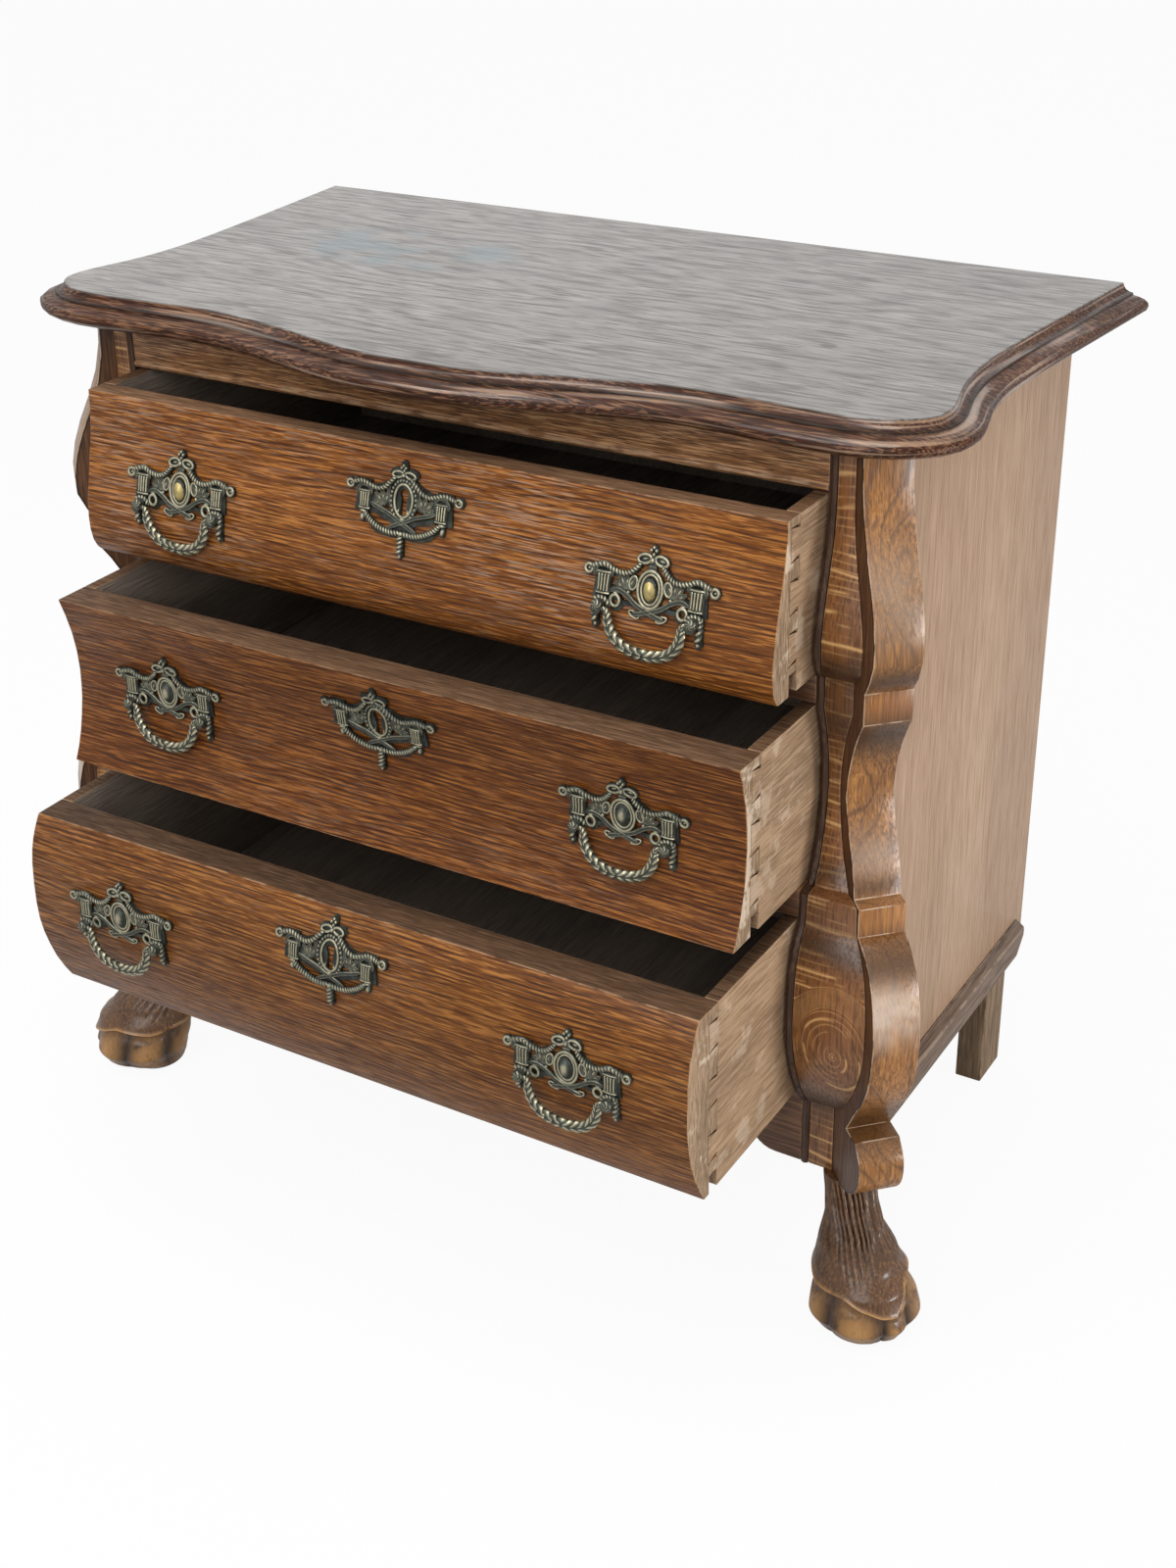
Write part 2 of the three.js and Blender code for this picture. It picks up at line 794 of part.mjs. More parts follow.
// The dovetail outlines [y, z] of one drawer's corner, each grown by grow
function tails(index, grow) {
  const { high, low } = drawers[index];
  const root = rearPlane(index);
  const span = high - low - notchHeight;
  const pitch = span / tailCount;
  const tip = root - tailLength - grow;
  return Array.from({ length: tailCount }, (_, i) => {
    const middle = low + notchHeight + pitch * (i + 0.5);
    const half = tailRoot / 2 + grow;
    return [
      [tip, middle + half + tailSplay],
      [tip, middle - half - tailSplay],
      [root, middle - half],
      [root, middle + half],
    ];
  });
}

function drawerFront(index) {
  const { low } = drawers[index];
  const root = rearPlane(index);
  const board = alongX(behindCurve(drawerCurves[index], 0, root), -drawerHalfWidth, drawerHalfWidth);
  const sideInner = drawerHalfWidth - sideThickness - jointGap;
  const tools = [];
  for (const outline of tails(index, jointGap)) {
    const socket = outline.map(([y, z]) => [y === root ? root + overrun : y, z]);
    tools.push(alongX(socket, sideInner, drawerHalfWidth + overrun));
    tools.push(alongX(socket, -drawerHalfWidth - overrun, -sideInner));
  }
  const notch = [[root - notchDepth, root + overrun], [low - overrun, low + notchHeight]];
  tools.push(block([sideInner, drawerHalfWidth + overrun], ...notch));
  tools.push(block([-drawerHalfWidth - overrun, -sideInner], ...notch));
  tools.push(block(
    [-drawerHalfWidth + sideThickness / 2, drawerHalfWidth - sideThickness / 2],
    [root - grooveDepth, root + overrun],
    [low + bottomLift - jointGap, low + bottomLift + bottomThickness + jointGap],
  ));
  return cut(board, ...tools);
}

function drawerSide(index) {
  const { high, low } = drawers[index];
  const root = rearPlane(index) + jointGap;
  const outline = [[drawerBack, low], [drawerBack, high], [root, high]];
  for (const [tipHigh, tipLow, rootLow, rootHigh] of tails(index, 0).reverse()) {
    outline.push([root, rootHigh[1]], tipHigh, tipLow, [root, rootLow[1]]);
  }
  outline.push([root, low]);
  const board = alongX(outline, drawerHalfWidth - sideThickness, drawerHalfWidth);
  const groove = block(
    [drawerHalfWidth - sideThickness - overrun, drawerHalfWidth - sideThickness + grooveDepth],
    [-overrun, carcassDepth + overrun],
    [low + bottomLift - jointGap, low + bottomLift + bottomThickness + jointGap],
  );
  return cut(board, groove);
}

function drawerBackBoard(index) {
  const { high, low } = drawers[index];
  const half = drawerHalfWidth - sideThickness - jointGap;
  const floor = low + bottomLift + bottomThickness + jointGap;
  return block([-half, half], [drawerBack - drawerBackThickness, drawerBack], [floor, high - drawerBackDrop]);
}

function drawerBottom(index) {
  const { low } = drawers[index];
  const half = drawerHalfWidth - sideThickness + grooveDepth - jointGap;
  const front = rearPlane(index) - grooveDepth + jointGap;
  return block([-half, half], [front, drawerBack], [low + bottomLift, low + bottomLift + bottomThickness]);
}

// Handle ornament, drawn as flat outlines around its own middle

function bothSides(outline) {
  return [outline, mirrorOutline(outline)];
}

function blockOutline(x) {
  const half = blockWidth / 2;
  const tall = blockHeight / 2;
  const nip = blockWidth / 4;
  return [
    [x - half, -tall + nip], [x - half + nip, -tall], [x + half, -tall], [x + half - nip / 2, tall - nip],
    [x + half, tall], [x - half, tall], [x - half + nip / 2, 0],
  ].reverse();
}

function tasselOutline(x, high, low, width) {
  const half = width / 2;
  return [
    [x - half / 2, high], [x - half, low + half], [x, low], [x + half, low + half], [x + half / 2, high],
  ];
}

// A bow on a short stem with a bud above it
function crestOutlines() {
  return [
    [
      [-ribbonWidth, shieldHalfHeight - ribbonWidth], [ribbonWidth, shieldHalfHeight - ribbonWidth],
      [budRadius / 2, budHeight], [-budRadius / 2, budHeight],
    ],
    oval(0, budHeight, budRadius, budRadius, smallSides),
    ...bothSides(oval(bowHalfWidth, bowHeight, bowHalfWidth, bowHalfHeight, smallSides)),
  ];
}

function handleOutlines() {
  const swag = [
    [bowHalfWidth, bowHeight], [blockOffset * 0.42, ballHeight + swagWidth / 2],
    [blockOffset * 0.72, ballHeight], [ballOffset, ballHeight + swagWidth / 3],
  ];
  const scroll = [
    [shieldHalfWidth - ribbonWidth, 0], [ringOffset * 0.62, swagWidth / 2], [blockOffset - blockWidth / 2, -swagWidth],
  ];
  const ribbon = [
    [ringOffset, -ringDrop], [ringOffset / 2, -shieldHalfHeight * 0.8],
    [0, -shieldHalfHeight - ribbonWidth / 2], [-ribbonSpread, -ribbonDrop],
  ];
  return {
    solid: [
      oval(0, 0, shieldHalfWidth, shieldHalfHeight, ovalSides),
      ...crestOutlines(),
      ...bothSides(band(swag, swagWidth, swagSteps + 1)),
      ...bothSides(band(scroll, ribbonWidth, swagSteps - 1)),
      ...bothSides(band(ribbon, ribbonWidth, swagSteps)),
      ...bothSides(blockOutline(blockOffset)),
      ...bothSides(oval(ballOffset, ballHeight, ballRadius, ballRadius, smallSides)),
      ...bothSides(oval(ringOffset, -ringDrop, ringOuter, ringOuter, smallSides)),
      ...bothSides(tasselOutline(tasselOffset, -blockHeight / 3, -tasselDrop, tasselWidth)),
    ],
    holes: bothSides(oval(ringOffset, -ringDrop, ringInner, ringInner, smallSides / 2 + 1)),
  };
}

function escutcheonOutlines() {
  const swag = [
    [bowHalfWidth, bowHeight - bowHalfHeight], [keyBlockOffset * 0.5, ballHeight + swagWidth / 2],
    [keyBlockOffset * 0.8, ballHeight], [keyBallOffset, ballHeight],
  ];
  const ribbon = [
    [keyBlockOffset, -blockHeight / 3], [keyBlockOffset / 2, -keyRingHalfHeight * 0.75],
    [0, -keyRingHalfHeight - ribbonWidth / 2], [-ribbonSpread, -keyGarlandDrop],
  ];
  const garland = [
    [keyBlockOffset, -blockHeight / 2], [keyBlockOffset * 0.62, -keyGarlandDrop * 0.94],
    [keyBlockOffset * 0.3, -keyGarlandDrop], [0, -keyGarlandDrop * 0.97],
  ];
  const fill = [
    [keyRingHalfWidth - ribbonWidth, 0], [keyBlockOffset * 0.55, -swagWidth / 2], [keyBlockOffset, 0],
  ];
  const slot = [
    [-keySlotWidth / 2, -keySlotLength], [keySlotWidth / 2, -keySlotLength],
    [keySlotWidth / 2, keySlotLength / 2], [-keySlotWidth / 2, keySlotLength / 2],
  ];
  return {
    solid: [
      oval(0, 0, keyRingHalfWidth, keyRingHalfHeight, ovalSides),
      ...crestOutlines(),
      ...bothSides(band(swag, swagWidth, swagSteps + 1)),
      ...bothSides(band(fill, 2 * ribbonWidth, swagSteps - 1)),
      ...bothSides(band(ribbon, ribbonWidth, swagSteps)),
      ...bothSides(band(garland, swagWidth, swagSteps)),
      ...bothSides(blockOutline(keyBlockOffset)),
      ...bothSides(oval(keyBallOffset, ballHeight, ballRadius, ballRadius, smallSides)),
      tasselOutline(0, -keyGarlandDrop + swagWidth / 2, -keyTasselDrop, tasselWidth),
    ],
    holes: [oval(0, keySlotLength / 2, keyEyeRadius, keyEyeRadius, smallSides), slot],
  };
}

// The ornament cut from a thin sheet that follows the drawer's front
function pressedPlate(index, outlines, x, z) {
  const curve = drawerCurves[index];
  const sheet = alongX(
    betweenCurves(curve, jointGap + plateThickness, jointGap),
    x - handleOffset,
    x + handleOffset,
  );
  const prisms = (list) => list.map((outline) => toSolid(alongY(outline, -2 * overrun, overrun)));
  const whole = prisms(outlines.solid).reduce((sum, next) => sum.add(next));
  const pierced = prisms(outlines.holes).reduce((rest, hole) => rest.subtract(hole), whole);
  return toGeometry(pierced.translate([x, 0, z]).intersect(toSolid(sheet)));
}

function handlePlace(index) {
  const z = drawers[index].high - handleDrops[index];
  const pivotZ = z - pivotDrop;
  const face = -(swellAt(drawerCurves[index], pivotZ) + jointGap + plateThickness);
  return { z, pivotZ, face, pivotY: face - pivotStand };
}

function handlePlate(index, x) {
  const { z, pivotZ, face, pivotY } = handlePlace(index);
  const plate = pressedPlate(index, handleOutlines(), x, z);
  const domeFace = -(swellAt(drawerCurves[index], z) + jointGap + plateThickness);
  const dome = new THREE.SphereGeometry(1, ovalSides - 2, smallSides - 2)
    .scale(domeHalfWidth, domeStand, domeHalfHeight)
    .translate(x, domeFace, z);
  const clear = alongX(
    betweenCurves(extended(drawerCurves[index]), jointGap + plateThickness / 2, -overrun),
    x - handleOffset,
    x + handleOffset,
  );
  const posts = [-1, 1].map((side) => new THREE.CylinderGeometry(
    bailPostRadius,
    bailPostRadius,
    plateThickness + pivotStand + postCap,
    smallSides,
  ).translate(x + side * bailPostOffset, face - (pivotStand + postCap - plateThickness) / 2, pivotZ));
  const holes = [-1, 1].map((side) => {
    const inner = bailHalfWidth;
    const outer = bailPostOffset - bailPostRadius + pinEngagement + pinClearance;
    const bore = new THREE.CylinderGeometry(
      pinRadius + pinClearance,
      pinRadius + pinClearance,
      outer - inner,
      bailSides,
    );
    return bore.rotateZ(Math.PI / 2).translate(x + (side * (inner + outer)) / 2, pivotY, pivotZ);
  });
  return cut(joined(plate, cut(dome, clear), ...posts.map((post) => cut(post, clear))), ...holes);
}

// The bail hangs from its pins; where the wood swells below them it leans on its stop
function bail(index, x) {
  const { pivotZ, pivotY } = handlePlace(index);
  const pinEnd = bailPostOffset - bailPostRadius + pinEngagement;
  const half = [
    [pinEnd, 0, pinRadius],
    [bailPostOffset - bailPostRadius, 0, pinRadius],
    [bailHalfWidth + pinRadius, -pinRadius / 4, (pinRadius + bailNeckRadius) / 2],
    ...bailShares.map(([across, down]) => [
      bailHalfWidth * across,
      -bailDrop * down,
      bailNeckRadius + (bailBellyRadius - bailNeckRadius) * Math.sqrt(down),
    ]),
  ];
  const line = [...half, ...half.slice(0, -1).reverse().map(([u, w, r]) => [-u, w, r])];
  const path = new THREE.CatmullRomCurve3(line.map(([u, w]) => new THREE.Vector3(u, 0, w)), false, 'centripetal');
  const girth = new THREE.CatmullRomCurve3(
    line.map(([, , r], i) => new THREE.Vector3(i, r, 0)),
    false,
    'catmullrom',
    0,
  );
  const rings = [];
  for (let i = 0; i <= bailRings; i += 1) {
    const t = i / bailRings;
    const middle = path.getPoint(t);
    const along = path.getTangent(t);
    const side = new THREE.Vector3(along.z, 0, -along.x);
    const radius = girth.getPoint(t).y;
    const thick = radius - pinRadius > jointGap ? bailFlatness : 1;
    rings.push(Array.from({ length: bailSides }, (_, k) => {
      const angle = (2 * Math.PI * (k + 0.5)) / bailSides;
      return middle.clone()
        .addScaledVector(side, radius * Math.cos(angle))
        .addScaledVector(backward, radius * thick * Math.sin(angle));
    }));
  }
  return loft(rings).rotateX(-bailLean(index)).translate(x, pivotY, pivotZ);
}

// The least outward lean that keeps the bail's belly clear of the wood behind it
function bailLean(index) {
  const { pivotZ, pivotY } = handlePlace(index);
  const depth = bailBellyRadius * bailFlatness + bailWoodClearance;
  let lean = 0;
  for (let drop = bailDrop / 4; drop < bailDrop + bailBellyRadius; drop += bailNeckRadius / 2) {
    const needed = depth + swellAt(drawerCurves[index], pivotZ - drop) + pivotY;
    lean = Math.max(lean, Math.atan2(needed, drop));
  }
  return lean;
}

function escutcheon(index) {
  return pressedPlate(index, escutcheonOutlines(), 0, drawers[index].high - keyDrops[index]);
}

// Assembly

const materials = Object.fromEntries(
  Object.entries(finishes).map(([name, look]) => [name, new THREE.MeshStandardMaterial(look)]),
);

function piece(name, geometry, finish) {
  const mesh = new THREE.Mesh(closed(geometry), materials[finish]);
  mesh.name = name;
  return mesh;
}

function pair(name, geometry, finish) {
  return [piece(`${name}_right`, geometry, finish), piece(`${name}_left`, mirrored(geometry), finish)];
}

// The two front corners: posts and feet stand on the diagonals through the carcass corners
function corner(side) {
  const label = side > 0 ? 'right' : 'left';
  const group = new THREE.Group();
  group.position.set(side * halfCarcass, 0, 0);
  group.rotation.z = side > 0 ? -Math.PI / 4 : (-3 * Math.PI) / 4;
  group.add(piece(`corner_post_${label}`, cornerPost(), 'postOak'));
  const foot = piece(`front_foot_${label}`, frontFoot(), 'postOak');
  foot.position.y = -side * footTurnIn;
  group.add(foot);
  return group;
}

function carcass() {
  const group = new THREE.Group();
  group.add(
    piece('top_board', topBoard(), 'topOak'),
    ...pair('side_panel', sidePanel(), 'panelOak'),
    ...pair('base_strip', baseStrip(), 'panelOak'),
    ...pair('front_stile', frontStile(), 'frameOak'),
    ...pair('opening_bead', openingBead(), 'frameOak'),
    corner(1),
    corner(-1),
    ...pair('rear_leg', rearLeg(), 'panelOak'),
    piece('top_rail', topRail(), 'frameOak'),
    piece('drawer_rail_upper', drawerRail(0), 'frameOak'),
    piece('drawer_rail_lower', drawerRail(1), 'frameOak'),
    piece('apron', apron(), 'frameOak'),
    piece('back_panel', backPanel(), 'innerWood'),
    piece('rear_rail_top', rearRail(frameTop - topRailHeight, frameTop), 'innerWood'),
    piece('rear_rail_bottom', rearRail(backLift, backLift + rearBottomRailHeight), 'innerWood'),
  );
  drawers.forEach((drawer, index) => {
    group.add(...pair(`runner_${drawerNames[index]}`, runner(drawer), 'innerWood'));
  });
  return group;
}

function drawer(index) {
  const name = drawerNames[index];
  const group = new THREE.Group();
  group.position.y = -drawnOut[index];
  group.add(
    piece(`${name}_front`, drawerFront(index), 'frontOak'),
    ...pair(`${name}_side`, drawerSide(index), 'rawOak'),
    piece(`${name}_back`, drawerBackBoard(index), 'innerWood'),
    piece(`${name}_bottom`, drawerBottom(index), 'innerWood'),
    piece(`${name}_escutcheon`, escutcheon(index), 'brass'),
    piece(`${name}_plate_right`, handlePlate(index, handleOffset), 'brass'),
    piece(`${name}_plate_left`, handlePlate(index, -handleOffset), 'brass'),
    piece(`${name}_bail_right`, bail(index, handleOffset), 'brass'),
    piece(`${name}_bail_left`, bail(index, -handleOffset), 'brass'),
  );
  return group;
}

const chest = new THREE.Group();
chest.add(carcass(), drawer(0), drawer(1), drawer(2));

// The origin is on the floor, below the middle of the chest with its drawers as drawn out
chest.updateMatrixWorld(true);
const reach = new THREE.Box3().setFromObject(chest, true);
chest.position.y = -(reach.min.y + reach.max.y) / 2;

export default chest;
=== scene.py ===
"""Looks of a bombe chest of three drawers: its woods, brass, floor, lamps and camera.

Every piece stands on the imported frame, in metres, +X to the viewer's right, the front
towards -Y and +Z up.
"""

from __future__ import annotations

import json
import logging
import math
from dataclasses import dataclass, field
from enum import Enum
from typing import Callable, Sequence

import bpy
from mathutils import Matrix, Vector
from mathutils.bvhtree import BVHTree

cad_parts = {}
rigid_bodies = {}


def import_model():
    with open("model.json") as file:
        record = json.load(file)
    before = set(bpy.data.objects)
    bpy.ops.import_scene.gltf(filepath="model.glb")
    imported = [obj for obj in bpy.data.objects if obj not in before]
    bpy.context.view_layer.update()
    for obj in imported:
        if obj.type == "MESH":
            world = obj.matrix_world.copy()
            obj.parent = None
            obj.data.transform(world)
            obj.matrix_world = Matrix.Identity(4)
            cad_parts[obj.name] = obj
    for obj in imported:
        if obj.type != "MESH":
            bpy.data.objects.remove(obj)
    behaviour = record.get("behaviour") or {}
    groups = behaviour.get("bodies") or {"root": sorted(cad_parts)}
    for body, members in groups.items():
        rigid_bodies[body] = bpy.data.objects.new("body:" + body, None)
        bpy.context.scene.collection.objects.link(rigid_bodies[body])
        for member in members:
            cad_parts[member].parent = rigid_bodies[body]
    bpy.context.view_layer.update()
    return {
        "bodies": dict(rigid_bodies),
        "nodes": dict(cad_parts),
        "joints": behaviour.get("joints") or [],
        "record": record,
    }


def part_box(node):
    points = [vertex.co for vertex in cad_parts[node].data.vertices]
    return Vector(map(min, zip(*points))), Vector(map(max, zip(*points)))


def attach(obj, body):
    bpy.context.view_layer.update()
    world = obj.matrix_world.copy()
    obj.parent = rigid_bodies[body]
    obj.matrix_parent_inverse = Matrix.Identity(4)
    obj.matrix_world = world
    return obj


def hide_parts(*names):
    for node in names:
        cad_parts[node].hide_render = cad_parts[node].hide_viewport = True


LOG = logging.getLogger("bombe_chest")
MM = 0.001
DOUBLED = 1e-6
FLAT_ANGLE = math.radians(0.6)

Colour = tuple[float, float, float]
Place = Callable[[float, float], Vector]
Tone = Callable[[float, float], float]

WHITE: Colour = (1.0, 1.0, 1.0)


class Side(Enum):
    """The two ends of the chest."""

    RIGHT = 1
    LEFT = -1

    @property
    def word(self) -> str:
        """The word that the node names use."""
        return self.name.lower()


class Grain(Enum):
    """The way that the fibres of a board run."""

    ALONG_WIDTH = "X"
    ALONG_DEPTH = "Y"
    UPRIGHT = "Z"


# --------------------------------------------------------------------- shader maths


class Value:
    """A number that changes over a surface. Sums and products of it add Math nodes."""

    def __init__(self, graph: "Graph", socket: bpy.types.NodeSocket) -> None:
        """Wraps an output socket of a graph."""
        self.graph = graph
        self.socket = socket

    def _math(self, operation: str, *terms: "Value | float") -> "Value":
        """Adds one Math node and gives its result."""
        node = self.graph.node("ShaderNodeMath", {"operation": operation}, dict(enumerate(terms)))
        return Value(self.graph, node.outputs[0])

    def __add__(self, other: "Value | float") -> "Value":
        """Gives the sum."""
        return self._math("ADD", self, other)

    __radd__ = __add__

    def __sub__(self, other: "Value | float") -> "Value":
        """Gives the difference."""
        return self._math("SUBTRACT", self, other)

    def __rsub__(self, other: float) -> "Value":
        """Gives the reversed difference."""
        return self._math("SUBTRACT", other, self)

    def __mul__(self, other: "Value | float") -> "Value":
        """Gives the product."""
        return self._math("MULTIPLY", self, other)

    __rmul__ = __mul__

    def __truediv__(self, other: "Value | float") -> "Value":
        """Gives the quotient."""
        return self._math("DIVIDE", self, other)

    def __pow__(self, other: float) -> "Value":
        """Gives the power."""
        return self._math("POWER", self, other)

    def __abs__(self) -> "Value":
        """Gives the size without its sign."""
        return self._math("ABSOLUTE", self)

    def sine(self) -> "Value":
        """Gives the sine."""
        return self._math("SINE", self)

    def more(self, other: "Value | float") -> "Value":
        """Gives the larger of the two."""
        return self._math("MAXIMUM", self, other)

    def ramp(self, low: float, high: float) -> "Value":
        """Gives a smooth rise from 0 at low to 1 at high, or a fall where high is lower.

        Args:
            low: The value that gives 0.
            high: The value that gives 1.

        Returns:
            The rise.
        """
        rising = high > low
        ends = {1: low, 2: high, 3: 0.0, 4: 1.0} if rising else {1: high, 2: low, 3: 1.0, 4: 0.0}
        settings = {"interpolation_type": "SMOOTHSTEP"}
        node = self.graph.node("ShaderNodeMapRange", settings, {0: self, **ends})
        return Value(self.graph, node.outputs[0])


class Graph:
    """The node tree of one material, or of the room's world."""

    def __init__(self, owner: bpy.types.Material | bpy.types.World) -> None:
        """Empties a node tree.

        Args:
            owner: The new material or world.
        """
        self.owner = owner
        owner.use_nodes = True
        self.tree = owner.node_tree
        self.tree.nodes.clear()

    @classmethod
    def material(cls, name: str) -> "Graph":
        """Starts the tree of a new material."""
        return cls(bpy.data.materials.new(name))

    def feed(self, socket: bpy.types.NodeSocket, value: object) -> None:
        """Links or sets one input socket.

        Args:
            socket: The input socket.
            value: A Value, a socket or a plain number, colour or vector.
        """
        source = value.socket if isinstance(value, Value) else value
        if isinstance(source, bpy.types.NodeSocket):
            self.tree.links.new(source, socket)
        elif socket.type == "RGBA" and len(source) == 3:
            socket.default_value = (*source, 1.0)
        else:
            socket.default_value = source

    def node(self, kind: str, settings: dict | None = None, inputs: dict | None = None) -> bpy.types.Node:
        """Adds a node, its settings first and then its inputs.

        Args:
            kind: The node's type.
            settings: Its properties by name.
            inputs: Its inputs by name or number.

        Returns:
            The node.
        """
        made = self.tree.nodes.new(kind)
        for name, value in (settings or {}).items():
            setattr(made, name, value)
        for key, value in (inputs or {}).items():
            self.feed(made.inputs[key], value)
        return made

    def place(self) -> bpy.types.NodeSocket:
        """Gives the object coordinates."""
        return self.node("ShaderNodeTexCoord").outputs["Object"]

    def parts(self, vector: object) -> tuple[Value, Value, Value]:
        """Gives a vector's three numbers."""
        node = self.node("ShaderNodeSeparateXYZ", None, {0: vector})
        return tuple(Value(self, output) for output in node.outputs)

    def vector(self, x: object, y: object, z: object) -> bpy.types.NodeSocket:
        """Joins three numbers into a vector."""
        return self.node("ShaderNodeCombineXYZ", None, {0: x, 1: y, 2: z}).outputs[0]

    def noise(
        self, vector: object, scale: float, detail: float = 2.0, rough: float = 0.5, bend: float = 0.0,
    ) -> Value:
        """Gives a noise from 0 to 1, where rough is the strength of each next octave."""
        inputs = {"Vector": vector, "Scale": scale, "Detail": detail, "Roughness": rough, "Distortion": bend}
        return Value(self, self.node("ShaderNodeTexNoise", None, inputs).outputs[0])

    def attribute(self, name: str) -> Value:
        """Gives a number that the mesh carries under a name."""
        node = self.node("ShaderNodeAttribute", {"attribute_name": name})
        return Value(self, node.outputs["Fac"])

    def mix(self, share: Value | float, first: object, second: object) -> bpy.types.NodeSocket:
        """Mixes two colours, by the share of the second."""
        return self.node("ShaderNodeMix", {"data_type": "RGBA"}, {0: share, 6: first, 7: second}).outputs[2]

    def oval(self, u: Value, w: Value, middle: tuple[float, float], half: tuple[float, float]) -> Value:
        """Gives the square of the distance from the middle of an oval, which is 1 on its edge."""
        return ((u - middle[0]) / half[0]) ** 2.0 + ((w - middle[1]) / half[1]) ** 2.0

    def blend(self, share: Value, first: Value, second: Value) -> Value:
        """Mixes two numbers, by the share of the second."""
        return Value(self, self.node("ShaderNodeMix", None, {0: share, 2: first, 3: second}).outputs[0])

    def bump(self, height: Value, depth: float, strength: float = 1.0) -> bpy.types.NodeSocket:
        """Gives a normal from a height from 0 to 1 and its real depth in metres."""
        inputs = {"Strength": strength, "Distance": depth, "Height": height}
        return self.node("ShaderNodeBump", None, inputs).outputs[0]

    def surface(self, **inputs: object) -> bpy.types.Material:
        """Finishes the material with a Principled surface, whose inputs have _ for a space."""
        named = {name.replace("_", " "): value for name, value in inputs.items()}
        return self.finish(self.node("ShaderNodeBsdfPrincipled", None, named))

    def finish(self, shader: bpy.types.Node) -> bpy.types.Material:
        """Ends the tree with its output and gives the material."""
        self.node("ShaderNodeOutputMaterial", None, {"Surface": shader.outputs[0]})
        return self.owner

    def seen(self, mirrored: float = 1.0) -> Value:
        """Gives 1 where the camera looks, and a share where a mirror or glass does.

        Args:
            mirrored: The share for mirrors and glass.

        Returns:
            The share.
        """
        ray = self.node("ShaderNodeLightPath")
        seen = Value(self, ray.outputs["Is Camera Ray"])
        for kind in ("Is Glossy Ray", "Is Transmission Ray"):
            seen = seen.more(Value(self, ray.outputs[kind]) * mirrored)
        return seen


# -------------------------------------------------------------------------- finishes


@dataclass(frozen=True)
class ShadedBand:
    """A level of painted shade or, with a tint of its own, of that tint laid in patches: painted sheen where
    the tint is pale, a warmer wood colour where it is orange.
    """

    level: float
    reach: float
    strength: float
    tint: Colour | None = None


@dataclass(frozen=True)
class FleckRow:
    """A run of pale flecks: their spacing, their waviness, how short they break and how they show."""

    spacing: float
    waviness: float
    breaks: float
    share: float
    fineness: float


